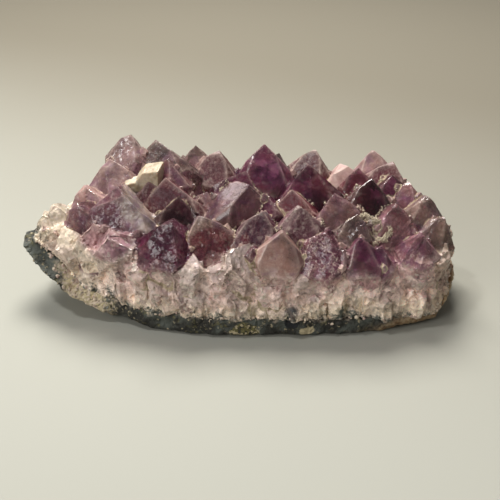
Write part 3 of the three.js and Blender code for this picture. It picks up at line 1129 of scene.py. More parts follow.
@dataclass
class Crust:
    """Dull grains that gathered in the valleys between the heads."""

    finish: Grit
    count: int = 3600
    seed: int = 41
    zone_low: Vec = (-18, -22, 27)
    zone_high: Vec = (58, 16, 44)
    pit: Vec = (44, -18.4, 32.2)
    pit_wide: float = 5
    pit_deep: float = 3
    pit_count: int = 1200
    pit_ragged: tuple[float, float] = (0.84, 1.16)
    pit_thick: float = 1.4
    smallest: float = 0.14
    largest: float = 0.42
    valley_from: float = 0.7
    clump: float = 0.13
    clump_from: float = -0.05
    stray: float = 0.7

    def build(self, druse: bpy.types.Object, stone: Stone) -> bpy.types.Object:
        """Drop the grains where the druse has valleys, and in a ring round the pit.

        Args:
            druse: The finished druse, with its valleys stored.
            stone: The form below it.

        Returns:
            The finished piece.
        """
        spots = vertex_rows(druse.data)
        valley = np.empty(len(spots))
        druse.data.attributes["valley"].data.foreach_get("value", valley)
        places = stone.own(spots)
        inside = np.all((places > self.zone_low) & (places < self.zone_high), axis=1)
        roll = Dice(self.seed)
        pile = Pile(roll, "amethyst_druse")
        clumped = np.array([noise.noise(Vector(place) * self.clump) > self.clump_from for place in places])
        chosen = np.nonzero(inside & (valley > self.valley_from) & clumped)[0]
        chosen = chosen[in_line(places[chosen])]
        for _ in range(min(self.count, len(chosen))):
            shift = Vector((roll() - 0.5, roll() - 0.5, roll() - 0.4)) * self.stray * MM
            place = Vector(spots[chosen[int(roll() * len(chosen))]]) + shift
            pile.drop(place, roll.between(self.smallest, self.largest) * MM)
        for _ in range(self.pit_count):
            heading = 2 * math.pi * roll()
            out = roll.between(*self.pit_ragged)
            out = out + 0.14 * math.sin(3 * heading + 1) + 0.08 * math.sin(7 * heading)
            ring = Vector((self.pit_wide * math.cos(heading), self.pit_deep * math.sin(heading), 0)) * out
            ring.z = self.pit_thick * (roll() - 0.5) + ring.y - 0.2 * ring.x
            place = (Vector(self.pit) + Vector(stone.shift) + ring) * MM
            pile.drop(place, roll.between(self.smallest, self.largest) * MM)
        shape = as_object("valley_crust", pile.finished())
        shape.data.materials.append(self.finish.material())
        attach(shape, "root")
        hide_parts("amethyst_druse")
        return shape


@dataclass(frozen=True)
class Sugar:
    """Broken grains of quartz: pale and glassy, grey where the rind stains them."""

    pale: Vec = linear(220, 204, 182)
    rosy: Vec = linear(180, 156, 144)
    grey: Vec = linear(112, 112, 102)
    index: float = 1.544

    def material(self) -> bpy.types.Material:
        """Make the material.

        Returns:
            The finished material.
        """
        sheet = Sheet("quartz grains")
        tone = sheet.grains(1.4)[1]
        colour = sheet.mix(tone.between(0.2, 0.8), self.rosy, self.pale)
        colour = sheet.mix(sheet.noise(5, 3, 0.6).between(0.52, 0.64), colour, self.grey)
        normal = sheet.bump(sheet.noise(0.7, 3, 0.6), 0.15, 0.5)
        return sheet.finish(sheet.surface({
            "Base Color": colour, "IOR": self.index, "Roughness": 0.3 + 0.3 * tone, "Normal": normal}))


@dataclass
class Foot:
    """Broken grains along the joint of quartz and rind, thickest at the left where they reach the edge."""

    stone: Stone
    finish: Sugar
    count: int = 2800
    seed: int = 52
    reach: float = 1.3
    smallest: float = 0.3
    largest: float = 0.8
    left: tuple[float, float] = (-63, -42)
    left_deep: float = 4.6
    left_back: float = 2
    wider: float = 1.1
    wider_from: tuple[float, float] = (40, 52)
    wander: float = 1.2
    below: float = 0.45
    facing: float = -0.6

    def places(self, piece: bpy.types.Object) -> np.ndarray:
        """Find where a piece may carry grains.

        Args:
            piece: A finished piece, in its place.

        Returns:
            The vertices near the joint in metres, one row each.
        """
        spots, normals = vertex_rows(piece.data), vertex_rows(piece.data, "normal")
        x, y, z = self.stone.own(spots).T
        sunk = self.stone.sunk(x, y, z)
        wide = 1 + self.wider * smoothstep(-x, *self.wider_from)
        reach = self.reach * wide * (0.6 + 0.4 * lumps(y, x, z, 3))
        off = sunk + self.wander * lumps(x, z, y, 5)
        joint = (off > -reach) & (off < self.below * reach)
        left = (x > self.left[0]) & (x < self.left[1]) & (y < self.left_back)
        left = left & (sunk > 0) & (sunk < self.left_deep)
        found = spots[(joint | left) & (normals[:, 2] > self.facing)]
        return found[in_line(found)]

    def build(self, pieces: list[bpy.types.Object]) -> bpy.types.Object:
        """Scatter the grains over the joint.

        Args:
            pieces: The finished quartz and rind.

        Returns:
            The finished piece.
        """
        roll = Dice(self.seed)
        spots = np.concatenate([self.places(piece) for piece in pieces])
        pile = Pile(roll, "amethyst_druse")
        for _ in range(self.count):
            place = Vector(spots[int(roll() * len(spots))])
            share = roll() ** 2 * (1 + 0.5 * (place.x < self.left[1] * MM))
            size = self.smallest + (self.largest - self.smallest) * share
            pile.drop(place, size * MM)
        shape = as_object("foot_grains", pile.finished())
        shape.data.materials.append(self.finish.material())
        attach(shape, "root")
        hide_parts("amethyst_druse")
        return shape


# Name, tip in millimetres, width, lean to the right and away in degrees, turn, share by which every second
# face is set back, height that snapped off, and tint
HEADS: tuple[tuple[str, Vec, float, tuple[float, float], float, float, float, Tint], ...] = (
    ("left back peak", (-39, 22, 50), 20, (4, 8), 10, 0.2, 0.8, Tint.BLUSH),
    ("left shoulder", (-46, 13, 43.5), 30, (-10, 4), 34, 0.3, 1.6, Tint.BLUSH),
    ("grey peak", (-30, 20, 48.5), 28, (-13, 4), 22, 0.3, 0.6, Tint.SMOKE),
    ("small left point", (-25, 11, 45.5), 18, (-4, 4), 0, 0.1, 0, Tint.MAUVE),
    ("pale back point", (-16, 27, 44), 20, (-4, 0), 30, 0.2, 0, Tint.SMOKE),
    ("dark twin", (-7.5, 22, 43.5), 20, (6, -4), 12, 0.3, 0.8, Tint.PLUM),
    ("tall middle point", (9, 22, 46.5), 29, (2, 2), 33, 0.2, 0, Tint.VIOLET),
    ("grey point behind", (14.5, 27, 41), 18, (10, 0), 12, 0.2, 0, Tint.SMOKE),
    ("right back peak", (27.5, 25, 43), 24, (8, 2), 5, 0.2, 0.4, Tint.PLUM),
    ("dark triangle", (24, 8, 44.5), 27, (-3, -3), 30, 0.35, 0, Tint.INK),
    ("low back point", (37, 21, 38.5), 18, (0, 6), 50, 0.3, 1.4, Tint.BLUSH),
    ("pale right peak", (48, 22, 44), 24, (-3, 2), 28, 0.15, 0.4, Tint.BLUSH),
    ("dark right back point", (42, 12, 41.5), 16, (-3, 0), 18, 0.3, 0, Tint.PLUM),
    ("chisel right back", (54, 13, 43), 21, (8, -3), 8, 0.35, 0.8, Tint.PLUM),
    ("dark right edge point", (53, 6, 41.5), 18, (4, -6), 44, 0.3, 0, Tint.INK),
    ("dark right point", (45, -2, 43.5), 21, (8, -2), 30, 0.3, 0, Tint.GARNET),
    ("pale right dome", (58.5, 4, 39.3), 21, (4, 0), 15, 0.1, 0.8, Tint.MAUVE),
    ("right end upper", (64, -4, 37.5), 24, (10, -4), 38, 0.15, 1, Tint.SMOKE),
    ("right end lower", (69, -10, 33), 18, (20, -8), 10, 0.1, 0.6, Tint.SMOKE),
    ("dark ridge left", (-25, 1, 42.5), 33, (-8, -4), 27, 0.35, 0, Tint.PLUM),
    ("dark ridge end", (-31, 3, 40.6), 25, (-8, -4), 30, 0.35, 0, Tint.PLUM),
    ("dark wedge", (-20, -8, 39.6), 20, (3, -8), 32, 0.35, 0, Tint.GARNET),
    ("mauve slope", (-11, 4, 36), 19, (12, -2), 8, 0.4, 0, Tint.MAUVE),
    ("silver face", (3.5, -5.5, 43), 29, (14, -14), 57, 0.35, 0, Tint.SILVER),
    ("dark band behind silver", (2.5, 8, 42), 23, (14, 2), 12, 0.4, 0, Tint.INK),
    ("flat topped dark", (9, -3, 38), 19, (-4, 8), 0, 0.4, 1, Tint.INK),
    ("dark plum point", (18, -3, 40), 19, (-8, -2), 20, 0.35, 0, Tint.PLUM),
    ("sparkling point", (32, -8, 41), 24, (-6, 4), 42, 0.4, 0, Tint.MAUVE),
    ("brown textured point", (39, -17, 37.5), 17, (8, 4), 24, 0.3, 0, Tint.SMOKE),
    ("pit point", (44.5, -14, 34), 12, (0, 0), 12, 0.2, 1.2, Tint.GARNET),
    ("broken giant", (-41, -8, 41), 44, (-4, -12), 22, 0.3, 2.2, Tint.LILAC),
    ("ink point", (-22, -24, 38), 24, (4, -14), 10, 0.2, 0.8, Tint.INK),
    ("grey topped front", (-13, -19, 38), 24, (-12, -6), 50, 0.35, 0, Tint.SMOKE),
    ("spotted point", (8, -18, 39), 24, (6, -10), 14, 0.25, 0, Tint.INK),
    ("crusted point", (19.5, -17, 40), 22, (-2, -8), 36, 0.2, 0.6, Tint.LILAC),
    ("rose front point", (14, -27, 36), 22, (4, -16), 28, 0.3, 0, Tint.ROSE),
    ("cracked front", (28, -26, 35.5), 23, (2, -12), 5, 0.2, 0.6, Tint.LILAC),
    ("deep violet point", (39, -27, 34), 19, (-6, -10), 32, 0.15, 0, Tint.VIOLET),
    ("violet front point", (46, -27, 31), 15, (6, -12), 12, 0.2, 0, Tint.VIOLET),
    ("mottled right", (52, -13, 39), 27, (4, -8), 40, 0.2, 0.5, Tint.MAUVE),
    ("crusted right", (59.5, -23, 33), 17, (6, -14), 20, 0.1, 0.8, Tint.LILAC),
    ("slab at the left", (-54, 3, 38), 22, (-24, 2), 15, 0.35, 1, Tint.BLUSH),
    ("pale step", (-64, -3, 33.5), 17, (-26, -8), 35, 0.2, 1.4, Tint.CREAM),
    ("pale nose", (-69, -2, 29.5), 14, (-30, -6), 22, 0.3, 1.6, Tint.CREAM),
    ("violet step", (-54.5, -9, 37), 17, (-18, -16), 5, 0.25, 0.8, Tint.MAUVE),
)

# How broken the faces of a head are, where they are broken at all
WORN = {
    "broken giant": 0.4, "ink point": 0.8, "grey topped front": 0.8, "cracked front": 1, "crusted point": 0.5,
    "crusted right": 0.9, "mottled right": 0.7, "violet step": 0.7, "slab at the left": 0.5, "pale step": 2,
    "pale nose": 2, "pale right dome": 0.5, "left back peak": 0.5, "sparkling point": 0.3,
    "right end upper": 0.4, "right end lower": 0.5, "brown textured point": 0.5, "pit point": 0.8,
}

# How much lighter or darker than its tint a head is
SHADES = {
    "left back peak": 0.58, "left shoulder": 0.86, "grey peak": 0.85, "pale back point": 1.2,
    "dark twin": 0.42, "tall middle point": 1.15, "right back peak": 0.36, "dark triangle": 1.2,
    "low back point": 0.85, "pale right peak": 1.1, "dark right back point": 1.4, "chisel right back": 0.5,
    "pale right dome": 1.15, "right end upper": 1.05, "right end lower": 1.3, "dark ridge left": 0.5,
    "dark ridge end": 0.5, "mauve slope": 1.15, "dark plum point": 0.75, "silver face": 1.4,
    "dark band behind silver": 1.2, "sparkling point": 1.4, "brown textured point": 0.8, "pit point": 0.4,
    "broken giant": 0.9, "ink point": 1.25, "grey topped front": 1.3, "spotted point": 0.38,
    "crusted point": 0.42, "rose front point": 0.92, "cracked front": 1.35, "deep violet point": 1.5,
    "violet front point": 1.5, "mottled right": 1.4, "crusted right": 1.5, "slab at the left": 1.15,
    "pale step": 0.72, "pale nose": 0.8, "violet step": 1.1,
}

# The heads whose faces are dull and clouded
DULL = (
    "right back peak", "pit point", "dark plum point", "spotted point", "low back point", "dark twin",
    "chisel right back", "dark ridge left", "dark ridge end", "crusted point",
)

# Top in millimetres, width, lean to the right and away in degrees, turn and tint
COLUMNS: tuple[tuple[Vec, float, tuple[float, float], float, Tint], ...] = (
    ((-67, -9, 25), 13, (-22, -14), 12, Tint.CREAM),
    ((-58, -16, 28), 15, (-16, -20), 44, Tint.CREAM),
    ((-49, -18, 30), 17, (-10, -18), 22, Tint.CREAM),
    ((-41, -21, 31), 16, (-4, -12), 50, Tint.PALE),
    ((-32, -24, 26), 15, (-2, -10), 5, Tint.ROSE),
    ((-25, -27, 22), 13, (0, -8), 28, Tint.PALE),
    ((-16, -28, 27), 16, (2, -8), 14, Tint.PALE),
    ((-6, -28.5, 22), 13, (-3, -8), 36, Tint.ROSE),
    ((2, -28.5, 30), 15, (2, -8), 6, Tint.PALE),
    ((11, -29, 21), 14, (2, -8), 22, Tint.ROSE),
    ((21, -28, 25), 15, (0, -8), 40, Tint.PALE),
    ((32, -28, 21), 14, (2, -8), 16, Tint.CREAM),
    ((41, -27, 19), 13, (-2, -8), 54, Tint.CREAM),
    ((50, -25, 22), 15, (2, -8), 30, Tint.PALE),
    ((60, -22, 25), 16, (8, -8), 8, Tint.PALE),
    ((67, -15, 26), 15, (14, -6), 34, Tint.PALE),
)


@dataclass(frozen=True)
class Patch:
    """A soft patch of another tint: its middle, its half width and half height, and whose it is."""

    tint: Tint
    middle: tuple[float, float]
    spread: tuple[float, float]
    strength: float = 0.7
    owner: str = ""
    ragged: float = 0.25
    rags: float = 2.4
    soft: tuple[float, float] = (-1.3, -0.5)

    def share(self, points: np.ndarray, owners: np.ndarray) -> np.ndarray:
        """Say how much of each place the patch covers, seen from the front.

        Args:
            points: Places in millimetres.
            owners: The head that each is on.

        Returns:
            A column of shares from 0 to the patch's strength.
        """
        aside = (points[:, 0] - self.middle[0]) / self.spread[0]
        above = (points[:, 2] - self.middle[1]) / self.spread[1]
        ragged = self.ragged * lumps(points[:, 0], points[:, 1], points[:, 2], self.rags)
        share = smoothstep(-aside * aside - above * above + ragged, *self.soft) * self.strength
        if self.owner:
            share = share * (owners == [row[0] for row in HEADS].index(self.owner))
        else:
            share = share * (points[:, 1] < 0)
        return share[:, None]


def patched(colour: np.ndarray, patches: list[Patch], points: np.ndarray, owners: np.ndarray) -> np.ndarray:
    """Lay patches over colours.

    Args:
        colour: The colours, one row each.
        patches: The patches, in their order.
        points: Where the colours are, in millimetres.
        owners: The head that each is on.

    Returns:
        The new colours.
    """
    for patch in patches:
        colour = colour + (np.array(patch.tint.colour) - colour) * patch.share(points, owners)
    return colour


# Tint, middle and half size in millimetres as seen from the front, strength and head
PATCHES = (
    Patch(Tint.SMOKE, (-60, 21), (8, 5), 0.5),
    Patch(Tint.LILAC, (-44, 30), (10, 6), 0.8),
    Patch(Tint.CREAM, (36, 11), (14, 4), 0.6),
    Patch(Tint.SOOT, (17, 9), (2.6, 2.8), 1),
    Patch(Tint.PALE, (-32, 35), (8, 10), 0.95, "broken giant"),
    Patch(Tint.VIOLET, (-46, 34), (7, 6), 0.85, "broken giant"),
    Patch(Tint.VIOLET, (-23, 37), (6, 5), 0.9, "ink point"),
    Patch(Tint.PALE, (-16.5, 37), (6, 4), 0.45, "grey topped front"),
    Patch(Tint.PLUM, (-9, 29), (7, 6), 0.8, "grey topped front"),
    Patch(Tint.GARNET, (2.4, 30.6), (1.6, 1.8), 1, "spotted point"),
    Patch(Tint.VIOLET, (29.5, 29), (5, 7), 0.8, "cracked front"),
    Patch(Tint.PLUM, (29, 37), (5, 8), 0.7, "dark triangle"),
    Patch(Tint.VIOLET, (21, 40), (5, 7), 0.6, "dark triangle"),
    Patch(Tint.SMOKE, (8, 29), (14, 5), 0.8, "tall middle point"),
    Patch(Tint.SMOKE, (34, 34), (6, 5), 0.5, "sparkling point"),
    Patch(Tint.SMOKE, (37, 24), (7, 4), 0.6, "deep violet point"),
)


@dataclass
class Druse:
    """The quartz: heads, broken columns and small points grown together over the rind."""

    stone: Stone
    finish: Quartz
    seed: int = 20
    head_below: float = 9
    head_root: float = 0.97
    head_chips: int = 3
    column_above: float = 0.2
    column_below: float = 0.55
    column_flat: float = 0.4
    column_root: float = 0.86
    column_chips: int = 2
    break_down: float = -0.8
    stub_count: int = 20
    stub_in: float = 0.32
    stub_below: float = 0.5
    stub_snap: float = 0.25
    stub_root: float = 0.9
    seedling_count: int = 54
    seedling_rings: int = 6
    seedling_in: float = 0.93
    seedling_length: float = 12
    seedling_root: float = 0.6
    far_count: int = 24
    far_in: float = 4.6
    far_below: float = 3
    far_root: float = 0.95
    far_chips: int = 1
    overlap: float = 0.2
    longest: float = 1.3
    large: Fracture = Fracture()
    small: Fracture = Fracture(3.2, 5, 0.5, 1.1)
    olive: Vec = linear(160, 140, 112)
    wander: float = 3.4
    wander_wide: float = 5
    side_from: tuple[float, float] = (0.42, 0.66)
    wall_top: tuple[float, float] = (-29, -22)
    tries: int = 700
    spacing: float = 4.6
    tiny_across: tuple[float, float] = (1.8, 4.4)
    tiny_longest: float = 2.4
    tiny_from: float = 24
    tiny_near: float = 0.2
    tiny_alike: float = 0.6
    tiny_proud: tuple[float, float] = (0.3, 0.6)
    tiny_tall: float = 1.8
    tiny_root: float = 0.7
    clouded: float = 0.5
    merge: float = 0.01
    owned: float = 0.5
    fine_relief: float = 0.07
    broad_relief: float = 0.12
    worn_relief: float = 0.35
    wall_relief: float = 0.25
    wall_back: float = 0.3
    foot_clear: float = 3
    foot_proud: float = 0.1
    worn_grain: float = 0.14
    stain_from: tuple[float, float] = (-8, 1.5)
    edge_near: float = 0.4
    edge_wide: float = 0.45
    valley_wide: float = 0.8
    crystals: list[Crystal] = field(default_factory=list)

    def heads(self) -> list[Crystal]:
        """Give the heads that stand out.

        Returns:
            The crystals, in the order of the table.
        """
        return [
            Crystal((x, y, z + snap), across, lean, turn, flat, snap, across + self.head_below,
                    self.head_root, tint, chips=self.head_chips, worn=WORN.get(name, 0))
            for name, (x, y, z), across, lean, turn, flat, snap, tint in HEADS
        ]

    def columns(self) -> list[Crystal]:
        """Give the broken columns along the front.

        Returns:
            The crystals, in the order of the table.
        """
        roll = Dice(self.seed)
        made = []
        for (x, y, z), across, lean, turn, tint in COLUMNS:
            length = z - self.stone.foot(x, y) + across * self.column_below
            normal = (0.5 - roll(), 0.7 * roll() + 0.1, self.break_down)
            snap = across * (0.16 + 0.1 * roll())
            tip = (x, y, z + across * self.column_above)
            made.append(Crystal(tip, across, lean, turn, self.column_flat, snap, length, self.column_root,
                                tint, normal, self.column_chips))
        return made

    def stubs(self) -> list[Crystal]:
        """Give the low columns between the tall ones.

        Returns:
            The crystals, from left to right.
        """
        roll = Dice(self.seed + 3)
        made = []
        for i in range(self.stub_count):
            heading = math.radians(-150 + (130 * (i + 0.6 * roll())) / self.stub_count)
            across = 8 + 4 * roll()
            out = self.stone.reach(heading) - across * self.stub_in
            x, y = around(heading, out)
            z = self.stone.foot(x, y) + 5 + 8 * roll()
            length = z - self.stone.foot(x, y) + across * self.stub_below
            normal = (0.5 - roll(), 0.6 * roll(), self.break_down)
            lean = (14 * (roll() - 0.5), -8 * roll())
            tip = (x, y, z + across * self.column_above)
            made.append(Crystal(tip, across, lean, 60 * roll(), self.column_flat, across * self.stub_snap,
                                length, self.stub_root, Tint.PALE if i % 3 else Tint.ROSE, normal))
        return made

    def seedlings(self) -> list[Crystal]:
        """Give the small points that fill the valleys and the sides that face away.

        Returns:
            The crystals, in rings round the middle.
        """
        roll = Dice(self.seed + 1)
        made = []
        tints = (Tint.MAUVE, Tint.INK, Tint.VIOLET, Tint.SMOKE, Tint.PLUM)
        rings = self.seedling_rings
        for i in range(self.seedling_count):
            heading = (i / self.seedling_count) * 2 * math.pi * rings
            share = math.sqrt((i % rings + 0.5 + 0.6 * (roll() - 0.5)) / rings)
            out = self.stone.reach(heading) * share * self.seedling_in
            x, y = around(heading, out)
            across = 6 + 5 * roll()
            lean = (x * 0.12 + 26 * (roll() - 0.5), y * 0.3 + 26 * (roll() - 0.5))
            z = self.stone.crown(x, y) + 2 + 3 * roll() - 7 * max(0, share - 0.85)
            flat, turn = 0.3 * roll(), 60 * roll()
            if x > -24 or y > 8:
                tint = tints[i % len(tints)]
                made.append(Crystal((x, y, z), across, lean, turn, flat, 0, self.seedling_length,
                                    self.seedling_root, tint))
        return made

    def far_columns(self) -> list[Crystal]:
        """Give the columns round the back and the ends, in turn tall and low.

        Returns:
            The crystals, from right to left.
        """
        roll = Dice(self.seed + 2)
        made = []
        tints = (Tint.MAUVE, Tint.PALE, Tint.SMOKE, Tint.ROSE)
        for i in range(self.far_count):
            heading = math.radians(4 + (172 * i) / (self.far_count - 1))
            out = self.stone.reach(heading) - self.far_in - 1.6 * roll()
            x, y = around(heading, out)
            foot = self.stone.foot(x, y)
            across = (11 if i % 2 else 14) + 4 * roll()
            top = self.stone.crown(x, y) + 2.5 * roll() - 5 * smoothstep(-x, 40, 60)
            z = foot + (0.4 + 0.35 * roll()) * (top - foot) if i % 2 else top
            lean = (x * 0.04 + 8 * (roll() - 0.5), y * 0.12)
            flat, snap = 0.3 * roll(), 2 * roll()
            made.append(Crystal((x, y, z), across, lean, 60 * roll(), flat, snap, z - foot + self.far_below,
                                self.far_root, tints[i % len(tints)], chips=self.far_chips))
        return made

    def nestled(self) -> list[Crystal]:
        """Give the tiny points that grew in the valleys between the others.

        Returns:
            The crystals, none nearer to another than the spacing.
        """
        body = self.fused()
        bm = bmesh.new()
        bm.from_mesh(body.data)
        bpy.data.objects.remove(body)
        bmesh.ops.remove_doubles(bm, verts=bm.verts, dist=self.merge)
        refined(bm, self.tiny_longest)
        points = np.array([vert.co for vert in bm.verts])
        normals = [vert.normal.copy() for vert in bm.verts]
        bm.free()
        growth = growth_at(points, self.crystals)
        near = growth.valley - growth.depth < self.tiny_near
        spots = np.nonzero(near & (points[:, 2] > self.tiny_from))[0]
        spots = spots[in_line(points[spots])]
        roll = Dice(self.seed + 9)
        made = []
        for _ in range(self.tries):
            index = spots[int(roll() * len(spots))]
            place = Vector(points[index])
            if any((place - Vector(other.tip)).length < self.spacing for other in made):
                continue
            across = roll.between(*self.tiny_across)
            jitter = Vector((0.7 * (roll() - 0.5), 0.7 * (roll() - 0.5), 0.3 + 0.5 * roll()))
            axis = (Vector(np.round(normals[index], 3)) + jitter).normalized()
            lean = (math.degrees(math.atan2(axis.x, axis.z)), math.degrees(math.asin(axis.y)))
            tint = self.crystals[growth.owner[index]].tint if roll() < self.tiny_alike else Tint.ROSE
            tip = tuple(place + axis * across * roll.between(*self.tiny_proud))
            made.append(Crystal(tip, across, lean, 60 * roll(), 0.3 * roll(), 0, across * self.tiny_tall,
                                self.tiny_root, tint))
        return made

    def fused(self) -> bpy.types.Object:
        """Join the block and all crystals, and cut them off above the rind.

        Returns:
            The joined body in millimetres about the stone's own middle.
        """
        roll = Dice(self.seed + 7)
        body = as_object("druse", self.stone.block())
        group = bpy.data.collections.new("grown")
        parts = []
        for crystal in self.crystals:
            part = as_object("grown", crystal.mesh(roll))
            bpy.context.scene.collection.objects.unlink(part)
            group.objects.link(part)
            parts.append(part)
        join = body.modifiers.new("join", "BOOLEAN")
        join.solver = "MANIFOLD"
        join.operation = "UNION"
        join.operand_type = "COLLECTION"
        join.collection = group
        sheet = as_object("above", self.stone.above_rind(-self.overlap))
        cut = body.modifiers.new("cut", "BOOLEAN")
        cut.solver = "MANIFOLD"
        cut.operation = "INTERSECT"
        cut.object = sheet
        applied(body)
        for part in [*parts, sheet]:
            bpy.data.objects.remove(part)
        bpy.data.collections.remove(group)
        return body

    def roughen(self, body: bpy.types.Object, low: Vector, high: Vector) -> Growth:
        """Give the faces their small relief and keep the whole inside the solids' box.

        Args:
            body: The joined druse, in millimetres about the stone's own middle.
            low: The box's lowest corner in metres.
            high: Its highest corner.

        Returns:
            What grows where, for each vertex.
        """
        bm = bmesh.new()
        bm.from_mesh(body.data)
        bmesh.ops.remove_doubles(bm, verts=bm.verts, dist=self.merge)
        refined(bm, self.longest)
        LOG.info("druse %d triangles, %.0f cubic millimetres", len(bm.faces), bm.calc_volume())
        points = np.array([vert.co for vert in bm.verts])
        growth = growth_at(points, self.crystals)
        walls = self.wallness(points, growth)
        normals = [vert.normal.copy() for vert in bm.verts]
        for vert, normal, wall, owner in zip(bm.verts, normals, walls, growth.owner):
            place = vert.co
            worn = self.crystals[owner].worn if owner >= 0 else 0
            wall = max(wall, 0.4 * worn)
            broad = self.broad_relief + self.worn_relief * min(worn, 1)
            height = self.fine_relief * noise.noise(place * 0.8) + broad * noise.noise(place * 0.2)
            if wall > 0:
                coarse = self.large.at(place)[0]
                fine = self.small.at(place)[0]
                small = self.wall_relief * noise.noise(place * 0.9)
                height += wall * (coarse + fine + small - self.wall_back)
            above = place.z - self.stone.foot(place.x, place.y)
            if height > self.foot_proud and above < self.foot_clear:
                share = smoothstep(above, 0, self.foot_clear)
                height = self.foot_proud + (height - self.foot_proud) * share
            vert.co = place + normal * height
        self.stone.settle(bm, low, high)
        bm.to_mesh(body.data)
        bm.free()
        return growth

    def wallness(self, points: np.ndarray, growth: Growth) -> np.ndarray:
        """Say how much of each place belongs to the broken wall below the heads.

        Args:
            points: Places in millimetres.
            growth: What grows there.

        Returns:
            From 0 on a head's faces to 1 on the wall.
        """
        heads = len(HEADS)
        across = np.array([crystal.across for crystal in self.crystals])[growth.owner]
        side = smoothstep(growth.down / across, *self.side_from)
        wander = self.wander * lumps(points[:, 0], points[:, 1], 0, self.wander_wide)
        low = smoothstep(wander - points[:, 2], *self.wall_top)
        columns = heads + len(COLUMNS) + self.stub_count
        close = growth.depth < self.owned
        on_head = (growth.owner >= 0) & (growth.owner < heads) & close
        on_column = (growth.owner >= heads) & (growth.owner < columns) & close
        on_point = (growth.owner >= columns) & close
        off = np.where(on_point, low, 0.3 + 0.7 * low)
        return np.where(on_head, side * low, np.where(on_column, 0.5 + 0.5 * low, off))

    def wall_colour(self, centres: np.ndarray, rolls: np.ndarray,
                    grains: np.ndarray) -> tuple[np.ndarray, np.ndarray]:
        """Colour the broken wall: rose and pale cells, cream at the left and at the foot.

        Args:
            centres: The middles of the faces in millimetres.
            rolls: Three numbers for each face, shared by a large cell.
            grains: Three numbers for each face, shared by a small cell.

        Returns:
            The colours, and a column that says how cream each is.
        """
        wall = np.array(Tint.PALE.colour) * (0.8 + 0.46 * rolls[:, 1:2])
        wall = wall + (np.array(Tint.ROSE.colour) - wall) * (0.6 * rolls[:, 2:3])
        wall = wall * (1 + 0.34 * smoothstep(centres[:, 0], 20, 50)[:, None])
        cream = smoothstep(-centres[:, 0], 34, 60) * 0.7
        cream = np.maximum(cream, smoothstep(-centres[:, 2], -16 + 6 * grains[:, 0], -8) * 0.7)[:, None]
        wall = wall + (np.array(Tint.CREAM.colour) - wall) * cream
        return wall * (0.7 + 0.54 * grains[:, 1:2]), cream

    def face_colours(self, centres: np.ndarray, faces: Growth, walls: np.ndarray,
                     dull: list[int]) -> tuple[np.ndarray, np.ndarray]:
        """Colour every face and say how milky it is.

        Args:
            centres: The middles of the faces in millimetres.
            faces: What grows at each.
            walls: How much of each belongs to the wall.
            dull: The numbers of the dull heads.

        Returns:
            The colours, one row each, and the milkiness.
        """
        colours = np.array([crystal.tint.colour for crystal in self.crystals])
        colours[:len(HEADS)] *= np.array([SHADES.get(row[0], 1) for row in HEADS])[:, None]
        milks = np.array([crystal.tint.milk for crystal in self.crystals])
        milks[dull] += self.clouded
        colour, milk = colours[faces.owner], milks[faces.owner]
        colour = patched(colour, [patch for patch in PATCHES if patch.owner], centres, faces.owner)
        rolls = np.array([self.large.at(Vector(centre))[1] for centre in centres])
        grains = np.array([self.small.at(Vector(centre))[1] for centre in centres])
        x, y, z = centres.T
        ragged = 10 * rolls[:, 0] + 3 * lumps(x, y, z, 3.4) + 2.5 * grains[:, 0]
        fade = smoothstep(-z, -31 + ragged, -21 + ragged)
        fade = np.maximum(fade, walls * 0.6) * (faces.depth < self.owned) + (faces.depth >= self.owned)
        wall, cream = self.wall_colour(centres, rolls, grains)
        colour = colour + (wall - colour) * fade[:, None]
        milk = milk + (0.66 + 0.3 * grains[:, 2] + 0.2 * cream[:, 0] - milk) * fade
        colour = patched(colour, [patch for patch in PATCHES if not patch.owner], centres, faces.owner)
        olive = (smoothstep(x, 62, 70) * smoothstep(-z, -36, -26))[:, None]
        return colour + (np.array(self.olive) - colour) * olive * 0.6, milk

    def paint(self, body: bpy.types.Object, growth: Growth) -> None:
        """Store the tint, the milkiness, the edges that the material lightens as a painted highlight, and the
        valleys on the mesh.

        Args:
            body: The druse in its place.
            growth: What grows where, for each vertex.
        """
        data = body.data
        count = len(data.polygons)
        centres = np.empty(count * 3)
        data.polygons.foreach_get("center", centres)
        centres = self.stone.own(centres.reshape(-1, 3))
        faces = growth_at(centres, self.crystals)
        walls = self.wallness(centres, faces)
        names = [row[0] for row in HEADS]
        dull = [names.index(name) for name in DULL]
        colour, milk = self.face_colours(centres, faces, walls, dull)
        worn = np.array([crystal.worn for crystal in self.crystals])[faces.owner] * (faces.depth < self.owned)
        store(data, "worn", worn)
        store(data, "dull", np.isin(faces.owner, dull).astype(float))
        store(data, "grain", np.clip(np.maximum(walls, self.worn_grain * worn), 0, 1))
        foot = self.stone.foot(centres[:, 0], centres[:, 1])
        store(data, "stain", smoothstep(foot - centres[:, 2], *self.stain_from))
        layer = data.attributes.new("tint", "FLOAT_COLOR", "FACE")
        layer.data.foreach_set("color", np.c_[colour, np.ones(count)].ravel())
        store(data, "milk", milk)
        # How near each vertex is to an edge, which the material lightens as a painted highlight
        edge = np.exp(-growth.edge / self.edge_wide) * (growth.depth < self.edge_near)
        store(data, "edge", edge, "POINT")
        apart = np.maximum(0, growth.valley - growth.depth)
        store(data, "valley", np.exp(-apart / self.valley_wide), "POINT")

    def build(self) -> bpy.types.Object:
        """Grow, join, roughen and dress the druse.

        Returns:
            The finished piece.
        """
        self.crystals = [*self.heads(), *self.columns(), *self.stubs(), *self.seedlings(),
                         *self.far_columns()]
        tiny = self.nestled()
        LOG.info("%d tiny points", len(tiny))
        self.crystals.extend(tiny)
        low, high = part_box("amethyst_druse")
        body = self.fused()
        growth = self.roughen(body, low, high)
        self.paint(body, growth)
        body.data.materials.clear()
        body.data.materials.append(self.finish.material())
        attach(body, "root")
        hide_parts("amethyst_druse")
        return body


